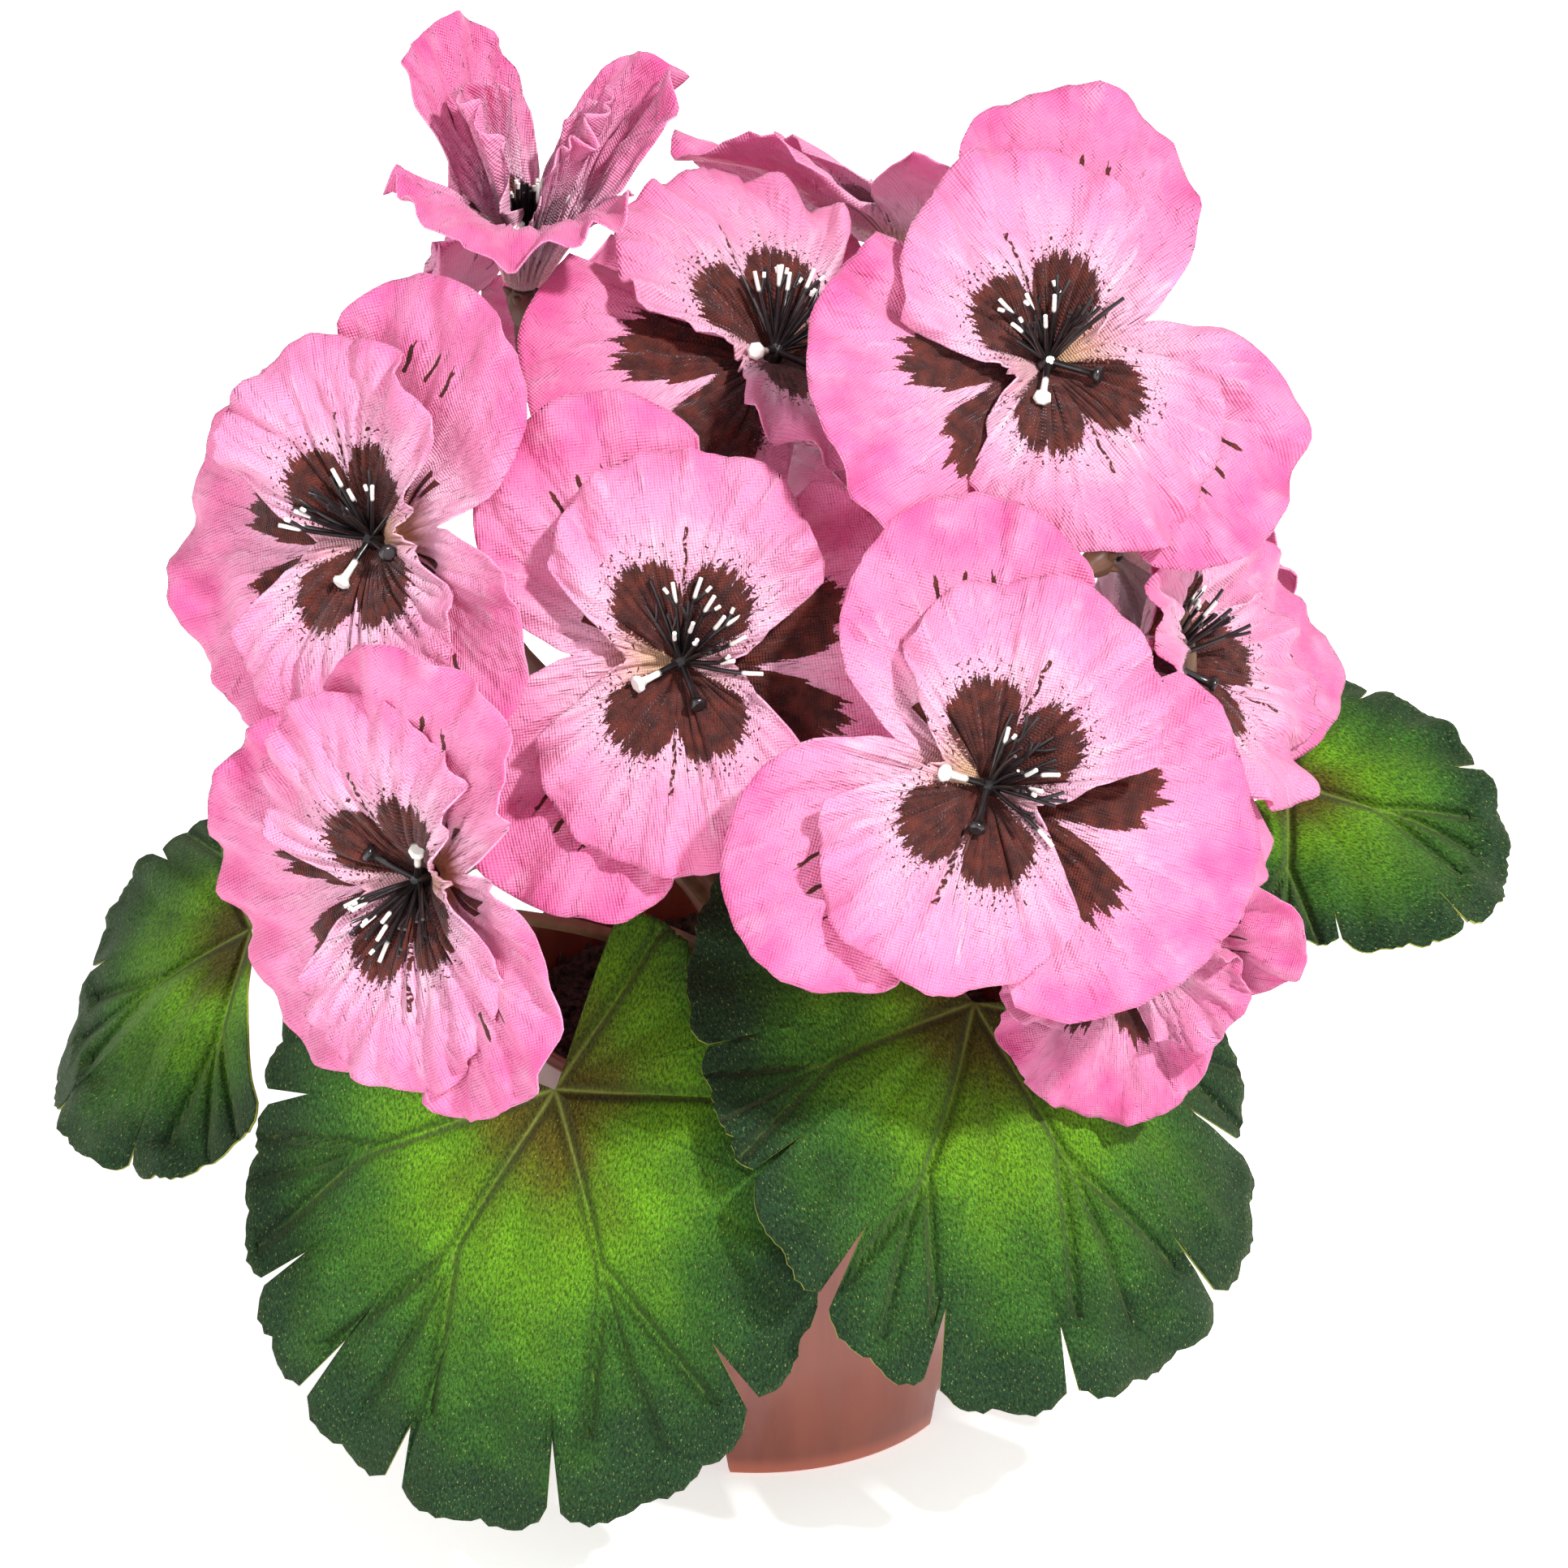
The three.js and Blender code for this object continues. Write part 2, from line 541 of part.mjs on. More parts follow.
function soil() {
  const low = POT.floorUnderside + POT.floorThickness + SOIL.clearance;
  const inner = (z) => potRadius(z) - POT.wall - SOIL.clearance;
  const profile = [
    [0, low],
    [inner(low), low],
    [inner(SOIL.top), SOIL.top],
    [inner(SOIL.top) * 0.78, SOIL.top],
    [inner(SOIL.top) * 0.5, SOIL.top],
    [inner(SOIL.top) * 0.2, SOIL.top],
    [0, SOIL.top],
  ].map(([r, z]) => new THREE.Vector2(r, z));
  const filling = new THREE.LatheGeometry(profile, SOIL.sides).rotateX(Math.PI / 2);
  const position = filling.attributes.position;
  for (let k = 0; k < position.count; k++) {
    const [x, y, z] = [position.getX(k), position.getY(k), position.getZ(k)];
    const inside = Math.hypot(x, y) < inner(SOIL.top) - 1;
    if (z > SOIL.top - 0.1 && inside) {
      const bump = Math.sin(0.55 * x + 1.3) * Math.cos(0.47 * y) + 0.6 * Math.sin(1.1 * y + 0.8 * x);
      position.setZ(k, z + SOIL.crumb * bump);
    }
  }
  const trunkHole = new THREE.CylinderGeometry(1, 1, 60, 10).rotateX(Math.PI / 2);
  const grow = TRUNK.radius * 1.15 + SOIL.holeClearance;
  trunkHole.scale(grow, grow, 1).translate(TRUNK.x, TRUNK.y, TRUNK.foot - SOIL.holeClearance + 30);
  let body = solid(filling).subtract(solid(trunkHole));
  for (const leaf of LEAVES) {
    const { x, y } = stalkFoot(leaf);
    const hole = new THREE.CylinderGeometry(1, 1, 60, 6).rotateX(Math.PI / 2);
    const wide = STALK.radius * 1.12 + SOIL.holeClearance + 0.25;
    hole.scale(wide, wide, 1).translate(x, y, STALK.foot - SOIL.holeClearance + 30);
    body = body.subtract(solid(hole));
  }
  return body;
}
piece("soil", geometryOf(soil()), "soil");

export default part;
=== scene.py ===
import bpy
import math
import numpy as np
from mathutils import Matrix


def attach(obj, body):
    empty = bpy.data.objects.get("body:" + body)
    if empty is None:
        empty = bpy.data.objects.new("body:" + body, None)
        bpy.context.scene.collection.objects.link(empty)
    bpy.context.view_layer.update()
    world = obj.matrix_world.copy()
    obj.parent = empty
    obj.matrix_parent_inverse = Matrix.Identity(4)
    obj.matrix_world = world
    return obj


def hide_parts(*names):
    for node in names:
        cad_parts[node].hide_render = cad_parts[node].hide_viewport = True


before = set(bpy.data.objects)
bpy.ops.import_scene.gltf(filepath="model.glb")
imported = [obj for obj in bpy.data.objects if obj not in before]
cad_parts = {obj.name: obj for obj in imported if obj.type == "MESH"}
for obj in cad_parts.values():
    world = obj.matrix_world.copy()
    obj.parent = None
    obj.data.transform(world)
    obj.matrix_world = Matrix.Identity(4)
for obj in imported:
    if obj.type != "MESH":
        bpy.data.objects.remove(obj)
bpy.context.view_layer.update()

# The camera stands well back and looks down at the front of the plant, as the photograph does.
# Lengths in this file are in millimetres until a mesh is made, and MIDDLE is the middle of the pot's foot.
MIDDLE = np.array([-4.0, 5.4, 0.0])
AIM = MIDDLE + [4.5, 0.0, 106.8]
CAMERA_DISTANCE, CAMERA_RISE = 1500.0, math.radians(27)
PICTURE_WIDTH, SENSOR_WIDTH = 247.7, 36


def placed(name, data):
    """An object at the origin that shows a mesh, a lamp or a camera."""
    piece = bpy.data.objects.new(name, data)
    bpy.context.collection.objects.link(piece)
    return piece


camera = placed("camera", bpy.data.cameras.new("camera"))
camera.data.sensor_width = SENSOR_WIDTH
camera.data.lens = SENSOR_WIDTH * CAMERA_DISTANCE / PICTURE_WIDTH
camera.data.clip_end = 20
from_aim = np.array([0, -math.cos(CAMERA_RISE), math.sin(CAMERA_RISE)])
camera.location = (AIM + CAMERA_DISTANCE * from_aim) / 1000
camera.rotation_euler = (math.pi / 2 - CAMERA_RISE, 0, 0)
bpy.context.scene.camera = camera


# The pot is a thin moulded shell of terracotta-coloured plastic. Its skirt is notched into four feet, and a
# collar runs round its mouth. The mould leaves rounded edges and a faint sheen of flow lines.
POT_HEIGHT, FOOT_RADIUS, MOUTH_RADIUS, POT_WALL = 72.0, 33.5, 41.0, 1.6
COLLAR_FOOT, COLLAR_STEP, FLOOR_UNDER, FLOOR_TOP = 64.0, 1.4, 8.0, 9.8
NOTCH_COUNT, NOTCH_WIDTH, NOTCH_HEIGHT, NOTCH_FIRST, NOTCH_ROUNDING = 4, 24.0, 5.8, -20.0, 0.9


def linear(code):
    """A colour like #a85a48 as the linear numbers that a material wants."""
    values = [int(code[k:k + 2], 16) / 255 for k in (1, 3, 5)]
    return [v / 12.92 if v < 0.04045 else ((v + 0.055) / 1.055) ** 2.4 for v in values] + [1.0]


def mesh_piece(name, points, faces):
    """A smooth mesh object from millimetre points measured from the pot's middle."""
    mesh = bpy.data.meshes.new(name)
    mesh.from_pydata(((np.asarray(points) + MIDDLE) / 1000).tolist(), [], faces)
    mesh.polygons.foreach_set("use_smooth", [True] * len(mesh.polygons))
    mesh.update()
    return placed(name, mesh)


def finish(piece, slot, *nodes):
    """Every piece rides on the one body and stands for its CAD nodes, which are hidden. The slot is not used.
    """
    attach(piece, "root")
    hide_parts(*nodes)


class Nodes:
    """Short calls for the nodes of one tree."""

    def __init__(self, tree):
        self.tree = tree

    def node(self, kind, inputs=(), **settings):
        made = self.tree.nodes.new(kind)
        for key, value in settings.items():
            setattr(made, key, value)
        for key, value in dict(inputs).items():
            self.put(made.inputs[key], value)
        return made

    def put(self, socket, value):
        if isinstance(value, bpy.types.NodeSocket):
            self.tree.links.new(value, socket)
        else:
            socket.default_value = value

    def math(self, operation, *values):
        return self.node("ShaderNodeMath", enumerate(values), operation=operation).outputs[0]

    def times(self, a, b):
        return self.math("MULTIPLY", a, b)

    def plus(self, a, b):
        return self.math("ADD", a, b)

    def minus(self, a, b):
        return self.math("SUBTRACT", a, b)

    def over(self, a, b):
        return self.math("GREATER_THAN", a, b)

    def under(self, a, b):
        return self.math("LESS_THAN", a, b)

    def most(self, a, b):
        return self.math("MAXIMUM", a, b)

    def shade(self, colour, amount):
        """A colour or vector times a number."""
        return self.node("ShaderNodeVectorMath", {0: colour, "Scale": amount}, operation="SCALE").outputs[0]

    def split(self, vector):
        return self.node("ShaderNodeSeparateXYZ", {0: vector}).outputs

    def vector(self, x, y, z=0.0):
        return self.node("ShaderNodeCombineXYZ", {0: x, 1: y, 2: z}).outputs[0]


class Finish(Nodes):
    """One material, with short calls for its nodes."""

    def __init__(self, name, **settings):
        self.material = bpy.data.materials.new(name)
        self.material.use_nodes = True
        super().__init__(self.material.node_tree)
        self.shader = self.tree.nodes["Principled BSDF"]
        self.wear(**settings)

    def wear(self, **settings):
        """Sets or links the shader's own sockets."""
        for key, value in settings.items():
            self.put(self.shader.inputs[key.replace("_", " ")], value)

    def let_light_through(self, share, tone):
        """Thin cloth passes a share of the light."""
        glow = self.node("ShaderNodeBsdfTranslucent", {"Color": tone})
        both = self.node("ShaderNodeMixShader", {0: share, 1: self.shader.outputs[0], 2: glow.outputs[0]})
        self.put(self.tree.nodes["Material Output"].inputs["Surface"], both.outputs[0])

    def ramp(self, value, low, high, low_to=0.0, high_to=1.0):
        """Runs smoothly from low_to to high_to as the value goes from low to high."""
        inputs = {"Value": value, "From Min": low, "From Max": high, "To Min": low_to, "To Max": high_to}
        return self.node("ShaderNodeMapRange", inputs, interpolation_type="SMOOTHSTEP").outputs[0]

    def mix(self, share, first, second):
        return self.node("ShaderNodeMix", {0: share, 6: first, 7: second}, data_type="RGBA").outputs[2]

    def noise(self, vector, scale, detail=2.0, rough=0.5):
        inputs = {"Vector": vector, "Scale": scale, "Detail": detail, "Roughness": rough}
        return self.node("ShaderNodeTexNoise", inputs).outputs[0]

    def place(self):
        return self.node("ShaderNodeTexCoord").outputs["Object"]

    def uv(self, name):
        return self.node("ShaderNodeUVMap", uv_map=name).outputs[0]

    def turned(self, vector, **settings):
        return self.node("ShaderNodeMapping", {"Vector": vector, **settings}).outputs[0]

    def value(self, name):
        return self.node("ShaderNodeAttribute", attribute_name=name).outputs["Fac"]

    def bump(self, height, distance, strength=1.0, normal=None):
        inputs = {"Height": height, "Distance": distance, "Strength": strength}
        if normal is not None:
            inputs["Normal"] = normal
        return self.node("ShaderNodeBump", inputs).outputs[0]


def smoothstep(low, high, value):
    t = np.clip((value - low) / (high - low), 0, 1)
    return t * t * (3 - 2 * t)


def pot_radius(z):
    """The outer radius of the tapered wall at a height."""
    return FOOT_RADIUS + (MOUTH_RADIUS - FOOT_RADIUS) * z / POT_HEIGHT


def pot_columns():
    """The angles of the shell's columns, closer together at the notches' sides."""
    angles = set(np.arange(0, 360, 3.0).round(2))
    for k in range(NOTCH_COUNT):
        for side in (-1, 1):
            edge = NOTCH_FIRST + k * 360 / NOTCH_COUNT + side * NOTCH_WIDTH / 2
            steps = np.array([-1, -0.5, 0, 0.5, 1]) * NOTCH_ROUNDING
            angles |= {round((edge + step) % 360, 2) for step in steps}
    return np.array(sorted(angles))


def notch_height(angle):
    """How high the skirt's lower edge stands at an angle."""
    turned = (angle - NOTCH_FIRST + 180 / NOTCH_COUNT) % (360 / NOTCH_COUNT) - 180 / NOTCH_COUNT
    half = NOTCH_WIDTH / 2
    return NOTCH_HEIGHT * (1 - smoothstep(half - NOTCH_ROUNDING, half + NOTCH_ROUNDING, abs(turned)))


def pot_profile(low):
    """Radius and height from the middle of the underside, round the shell, to the middle of the floor."""
    inner = pot_radius(0) - POT_WALL
    collar = pot_radius(COLLAR_FOOT) + COLLAR_STEP
    mouth = pot_radius(POT_HEIGHT)
    lip = mouth + COLLAR_STEP - 0.4
    points = [(0, FLOOR_UNDER), (pot_radius(FLOOR_UNDER) - POT_WALL - 2, FLOOR_UNDER),
              (pot_radius(FLOOR_UNDER) - POT_WALL, FLOOR_UNDER - 0.1), (inner + 0.1 * low, low + 0.5),
              (inner + 0.35 + 0.1 * low, low + 0.1), (inner + 0.5 + 0.1 * low, low),
              (pot_radius(low) - 0.45, low), (pot_radius(low) - 0.12, low + 0.12),
              (pot_radius(low), low + 0.5)]
    points += [(pot_radius(z), z) for z in (8, 10, 16, 22, 28, 34, 40, 46, 52, 58, 62.8)]
    points += [(pot_radius(COLLAR_FOOT) + 0.3, 63.6), (collar - 0.5, 63.9), (collar - 0.1, 64.3),
               (collar, 65), (lip, 70.6), (lip - 0.15, 71.3), (lip - 0.6, 71.8), (mouth + 0.1, POT_HEIGHT),
               (mouth - 0.7, POT_HEIGHT), (mouth - 1.2, 71.8), (mouth - POT_WALL, 71.2)]
    points += [(pot_radius(z) - POT_WALL, z) for z in (66, 60, 50, 40, 30, 20, 12)]
    points += [(pot_radius(FLOOR_TOP) - POT_WALL - 0.6, FLOOR_TOP + 0.3),
               (pot_radius(FLOOR_TOP) - POT_WALL - 2, FLOOR_TOP), (0, FLOOR_TOP)]
    return points


def turned_shell(name, columns, profiles):
    """A closed surface of revolution whose profile may change with the angle."""
    points, faces = [(0, 0, profiles[0][0][1]), (0, 0, profiles[0][-1][1])], []
    rings = len(profiles[0]) - 2
    for angle, profile in zip(np.radians(columns), profiles):
        points += [(r * math.cos(angle), r * math.sin(angle), z) for r, z in profile[1:-1]]
    for k in range(len(columns)):
        here, there = 2 + k * rings, 2 + (k + 1) % len(columns) * rings
        faces.append((0, there, here))
        faces += [(here + j, there + j, there + j + 1, here + j + 1) for j in range(rings - 1)]
        faces.append((here + rings - 1, there + rings - 1, 1))
    return mesh_piece(name, points, faces)


pot_angles = pot_columns()
pot = turned_shell("pot_shell", pot_angles, [pot_profile(notch_height(a)) for a in pot_angles])

plastic = Finish("terracotta_plastic", Subsurface_Weight=0.12, Subsurface_Radius=(0.004, 0.0015, 0.001),
                 Subsurface_Scale=0.6, Coat_Weight=0.22, Coat_Roughness=0.12)
streaks = plastic.noise(plastic.turned(plastic.place(), Scale=(1, 1, 0.12)), 260, 3)
clouds = plastic.noise(plastic.place(), 45, 3)
tone = plastic.mix(plastic.ramp(streaks, 0.3, 0.7), linear("#7c3829"), linear("#8b4332"))
tone = plastic.mix(plastic.ramp(clouds, 0.35, 0.75, 0, 0.4), tone, linear("#984d3a"))
# Painted light: the lowest few millimetres of the skirt are painted a brighter orange, for light shining
# through the thin plastic at the foot.
tone = plastic.mix(plastic.ramp(plastic.split(plastic.place())[2], 0.0005, 0.0035, 0.6, 0), tone,
                   linear("#c96a50"))
grain = plastic.noise(plastic.place(), 1500, 2)
normal = plastic.bump(streaks, 0.0004, 0.25, plastic.bump(grain, 0.00008, 0.4))
plastic.wear(Base_Color=tone, Roughness=plastic.ramp(clouds, 0.3, 0.8, 0.24, 0.4), Normal=normal)
pot.data.materials.append(plastic.material)
finish(pot, "pot_plastic", "pot")


# The soil is a filling of dark peat with a crust of loose grains, from dust to crumbs of 3 mm. It fills the
# pot to a little under its collar, and the grains lie on it as they fell.
SOIL_TOP, SOIL_CLEARANCE = 64.0, 0.4
STEM_PLACE, STALK_RING = (3.0, 0.0), 9.5


def soil_height(x, y):
    """The rolling top of the filling."""
    roll = np.sin(0.55 * x + 1.3) * np.cos(0.47 * y) + 0.6 * np.sin(1.1 * y + 0.8 * x)
    return SOIL_TOP + 0.9 * roll


def soil_filling():
    """The filling without its grains, a little clear of the pot's wall and floor."""
    columns = np.arange(0, 360, 4.0)
    top_radius = pot_radius(SOIL_TOP) - POT_WALL - SOIL_CLEARANCE
    low = FLOOR_TOP + SOIL_CLEARANCE
    low_radius = pot_radius(low) - POT_WALL - SOIL_CLEARANCE
    profiles = []
    for angle in np.radians(columns):
        profile = [(0, low), (low_radius, low), (top_radius, SOIL_TOP - 0.8)]
        for share in np.linspace(0.97, 0.04, 26):
            r = top_radius * share
            rolled = soil_height(r * math.cos(angle), r * math.sin(angle))
            profile.append((r, SOIL_TOP + (rolled - SOIL_TOP) * float(smoothstep(1.0, 0.9, share))))
        profiles.append(profile + [(0, float(soil_height(0, 0)))])
    return turned_shell("soil_filling", columns, profiles)


def recipe(name, **kinds):
    """Short calls for a new Geometry Nodes tree with named inputs, and those inputs."""
    tree = bpy.data.node_groups.new(name, "GeometryNodeTree")
    for key, kind in {"Geometry": "Geometry", **kinds}.items():
        tree.interface.new_socket(key, in_out="INPUT", socket_type=f"NodeSocket{kind}")
    tree.interface.new_socket("Geometry", in_out="OUTPUT", socket_type="NodeSocketGeometry")
    made = Nodes(tree)
    return made, made.node("NodeGroupInput").outputs


def ended(made, shape, material):
    """The tree, closed with plain geometry that carries its material."""
    real = made.node("GeometryNodeRealizeInstances", {0: shape}).outputs[0]
    paint = made.node("GeometryNodeSetMaterial", {"Geometry": real, "Material": material})
    made.node("NodeGroupOutput", {0: paint.outputs[0]})
    return made.tree


def scatter_tree():
    """Grains of several sizes, turned and stretched at random, on the faces that look up."""
    made, given = recipe("scattered_grains", Density="Float", Smallest="Float", Largest="Float",
                         Roundness="Int", Seed="Int", Material="Material")
    upward = made.split(made.node("GeometryNodeInputNormal").outputs[0])[2]
    above = made.node("FunctionNodeCompare", {0: upward, 1: 0.6}).outputs[0]
    spread = made.node("GeometryNodeDistributePointsOnFaces", {
        "Mesh": given["Geometry"], "Selection": above, "Density": given["Density"], "Seed": given["Seed"]})
    ball = made.node("GeometryNodeMeshIcoSphere", {"Subdivisions": given["Roundness"]}).outputs[0]
    rough = made.node("ShaderNodeTexNoise", {"Scale": 1.3}).outputs["Color"]
    lumps = made.node("ShaderNodeVectorMath", {0: rough, 1: (0.5, 0.5, 0.5)}, operation="SUBTRACT")
    crumb = made.node("GeometryNodeSetPosition", {
        "Geometry": ball, "Offset": made.shade(lumps.outputs[0], 0.9)})
    size = made.node("FunctionNodeRandomValue", {
        2: given["Smallest"], 3: given["Largest"], "Seed": given["Seed"]})
    turn = made.node("FunctionNodeRandomValue", {1: (6.28, 6.28, 6.28)}, data_type="FLOAT_VECTOR")
    squash = made.node("FunctionNodeRandomValue", {0: (0.7, 0.6, 0.4), 1: (1.6, 1.0, 0.9)},
                       data_type="FLOAT_VECTOR")
    lying = made.node("GeometryNodeInstanceOnPoints", {
        "Points": spread.outputs["Points"], "Instance": crumb.outputs[0], "Rotation": turn.outputs[0],
        "Scale": made.shade(squash.outputs[0], size.outputs[1])})
    return ended(made, lying.outputs[0], given["Material"])


def grown(piece, tree, **values):
    """The plain mesh that a node tree makes from a piece, which loses its modifier."""
    modifier = piece.modifiers.new(tree.name, "NODES")
    modifier.node_group = tree
    sockets = {s.name: s.identifier for s in tree.interface.items_tree if s.in_out == "INPUT"}
    for name, value in values.items():
        modifier[sockets[name]] = value
    bpy.context.view_layer.update()
    made = bpy.data.meshes.new_from_object(piece.evaluated_get(bpy.context.evaluated_depsgraph_get()))
    piece.modifiers.remove(modifier)
    return made


def join(name, meshes):
    """One object of several finished meshes that already stand in their places."""
    pieces = [placed(name, mesh) for mesh in meshes]
    with bpy.context.temp_override(active_object=pieces[0], selected_editable_objects=pieces):
        bpy.ops.object.join()
    pieces[0].name = name
    pieces[0].data.name = name
    return pieces[0]


peat = Finish("peat", Roughness=0.9)
crumbs = peat.noise(peat.place(), 900, 3)
patches = peat.noise(peat.place(), 120, 2)
tone = peat.mix(peat.ramp(crumbs, 0.3, 0.7), linear("#1d120e"), linear("#4a342a"))
tone = peat.mix(peat.ramp(patches, 0.5, 0.8, 0, 0.5), tone, linear("#7a6454"))
peat.wear(Base_Color=tone, Normal=peat.bump(crumbs, 0.0006, 0.9))
filling = soil_filling()
filling.data.materials.append(peat.material)
grain_tree = scatter_tree()
fine = grown(filling, grain_tree, Density=620000.0, Smallest=0.0003, Largest=0.0007, Roundness=1, Seed=3,
             Material=peat.material)
coarse = grown(filling, grain_tree, Density=160000.0, Smallest=0.0007, Largest=0.0015, Roundness=2, Seed=8,
               Material=peat.material)
soil = join("soil_grains", [filling.data.copy(), fine, coarse])
bpy.data.objects.remove(filling)
finish(soil, "soil_grains", "soil")


# The blooms are printed plain-weave cloth with a satin sheen. Each is two die-cut sheets on a small hub: a
# back sheet with two crown petals and a lip, and a front sheet with two side petals.
ROLL, BACK_LIFT = (-40, -40, -36, -60, -60), (28, 28, 20, 44, 44)
# face: degrees right of the front and above level. crown and spray: degrees from the bloom's right-hand side.
# lift and roll: how far each petal leaves the hub's plane and rolls back, in degrees. neck and spread bend
# the branch, steep raises the threads, and size makes a crumpled bloom smaller.
BLOOMS = [
    dict(name="middle", at=(-11, -40, 148), face=(-3, 27), crown=178, spray=60, lift=(24, 24, 16, 42, 42)),
    dict(name="front_right", at=(35, -63, 138.5), face=(4, 30), crown=152, spray=15,
         lift=(26, 26, 16, 42, 42), neck=12),
    dict(name="upper_right", at=(44, -18, 187.5), face=(16, 36), crown=15, spray=92,
         lift=(28, 24, 34, 44, 46), spread=1),
    dict(name="upper_left", at=(-57, -22, 160), face=(-36, 24), crown=20, spray=120,
         lift=(34, 30, 10, 46, 50)),
    dict(name="lower_left", at=(-49, -60, 122), face=(-36, 10), crown=24, spray=275,
         lift=(42, 40, 16, 52, 52)),
    dict(name="top_middle", at=(2, 6, 177), face=(40, 56), crown=0, spray=40, lift=(14, 6, 14, 52, 38)),
    dict(name="top_left", at=(-36, 18.5, 185.5), face=(40, 84), crown=40, spray=50,
         lift=(68, 72, 78, 78, 80), roll=(-14, -24, -84, -10, -16), steep=34),
    dict(name="right", at=(60.5, -18, 136.5), face=(74, 20), crown=30, spray=60, lift=(40, 40, 34, 54, 54)),
    dict(name="lower_right", at=(56, -36, 102.5), face=(6, -6), crown=75, spray=90, lift=(62, 50, 62, 74, 64),
         roll=(-50, -50, -50, -50, -50), steep=28, size=0.78),
    dict(name="back_top", at=(26, 40, 178), face=(150, 50), crown=80, spray=60, lift=BACK_LIFT),
    dict(name="back_left", at=(-56, 39, 152), face=(-118, 30), crown=60, spray=90, lift=BACK_LIFT),
    dict(name="back_middle", at=(-8, 66, 140), face=(182, 26), crown=100, spray=60, lift=BACK_LIFT),
    dict(name="back_right", at=(58, 46, 126), face=(128, 16), crown=70, spray=90, lift=BACK_LIFT),
]
BACK_SHEET = dict(
    height=0.0, flat=3.2, kinds=(2, 2, 1), lobes=((-17, 90, 33, 24, 20.5), (90, 197, 147, 24, 20.5),
                                                  (197, 343, 270, 13, 30)),
    notches=((90, 18, 30), (197, 14, 26), (343, 14, 26)))
FRONT_SHEET = dict(
    height=1.7, flat=1.7, kinds=(0, 0), lobes=((-90, 90, 0, 12, 23), (90, 270, 180, 12, 23)),
    notches=((90, 9.5, 46), (270, 9.5, 46)))
WAVE_HEIGHT, WAVE_SPREAD, WAVE_COUNT = 1.2, 1.2, 2
HUB_FOOT, HUB_TOP = -1.2, 3.2
# One whole of the cloth's map is CLOTH_UNIT, and one of the print's is PRINT_ANGLE degrees by CLOTH_UNIT.
CLOTH_THICKNESS, CLOTH_UNIT, PRINT_ANGLE, THREAD_REPEAT = 0.3, 50, 90, 0.64
FINE_STEP, FINE_RINGS, COARSE_STEP, COARSE_RINGS, BLOOMS_IN_FRONT = 2.0, 34, 3.0, 24, 9


def chance(a, b):
    """A number from 0 to 1 that is always the same for the same pair."""
    x = math.sin(a * 12.9898 + b * 78.233) * 43758.5453
    return x - math.floor(x)


def ripple(x, seed, count=4):
    """A smooth random line between about -1 and 1 that repeats every whole turn of x."""
    total = np.zeros_like(np.asarray(x, float))
    for k in range(1, count + 1):
        total += math.sin(9 + 7 * chance(seed, k)) * np.sin(2 * math.pi * (k * x + chance(seed, k + 30)))
    return total / math.sqrt(count)


def bloom_frame(bloom):
    """The bloom's own axes as columns: right, crown and facing."""
    turn, rise = np.radians(bloom["face"])
    facing = np.array([math.sin(turn) * math.cos(rise), -math.cos(turn) * math.cos(rise), math.sin(rise)])
    up = np.array([0, 0, 1.0]) - facing * facing[2]
    up /= np.linalg.norm(up)
    right = np.cross(up, facing)
    crown = math.radians(bloom["crown"])
    y = right * math.cos(crown) + up * math.sin(crown)
    return np.column_stack([np.cross(y, facing), y, facing]) * bloom.get("size", 1)


def sheet_edge(sheet, lobe, angle):
    """How far the cut edge lies from the bloom's middle."""
    _, _, axis, offset, radius = sheet["lobes"][lobe]
    off = np.radians(angle - axis)
    edge = offset * np.cos(off) + np.sqrt(np.maximum(0, radius ** 2 - (offset * np.sin(off)) ** 2))
    for at, depth, half in sheet["notches"]:
        gap = np.abs((angle - at + 180) % 360 - 180)
        cut = depth * math.sin(math.radians(half)) / np.sin(np.radians(np.maximum(half - gap, 1.0)))
        edge = np.where(gap < half - 1, np.minimum(edge, cut), edge)
    return edge


def sheet_points(index, sheet, lifts, rolls, lobe, angle, s):
    """The sheet's middle surface, as in the solid model: flat on the hub, lifted, rolled back and waved."""
    lobes = sheet["lobes"]
    start, end = lobes[lobe][0], lobes[lobe][1]
    across = 2 * (angle - start) / (end - start) - 1
    beside = np.where(across < 0, (lobe - 1) % len(lobes), (lobe + 1) % len(lobes))
    shared = 0.5 * np.abs(across) ** 3
    lift = np.radians(lifts[lobe] + (np.take(lifts, beside) - lifts[lobe]) * shared)
    reach = lobes[lobe][3] + lobes[lobe][4]
    bend = np.radians(rolls[lobe] + (np.take(rolls, beside) - rolls[lobe]) * shared) / reach
    free = np.maximum(0, s - sheet["flat"])
    out = np.minimum(s, sheet["flat"]) + (np.sin(lift + bend * free) - np.sin(lift)) / bend
    rise = (np.cos(lift) - np.cos(lift + bend * free)) / bend
    key = lobe + 10 * sheet["height"]
    wave_height = WAVE_HEIGHT + WAVE_SPREAD * chance(index, key + 5)
    phase = 2 * math.pi * chance(index, key + 1)
    wave = wave_height * (1 - across ** 6) * (s / reach) ** 2 * np.sin(WAVE_COUNT * math.pi * across + phase)
    turn = np.radians(angle)
    return np.stack([out * np.cos(turn), out * np.sin(turn), sheet["height"] + rise + wave], -1)


def grid_normals(points, closed=True):
    """Normals of a fan of columns by rings."""
    along = np.gradient(points, axis=1)
    around = (np.roll(points, -1, 0) - np.roll(points, 1, 0)) / 2 if closed else np.gradient(points, axis=0)
    normals = np.cross(along, around)
    return normals / np.maximum(np.linalg.norm(normals, axis=-1, keepdims=True), 1e-9)


def mark(mesh, domain, **marks):
    """Numbers by name for a mesh's faces or points, which its material reads."""
    for name, values in marks.items():
        mesh.attributes.new(name, "FLOAT", domain).data.foreach_set("value", np.array(values, np.float32))


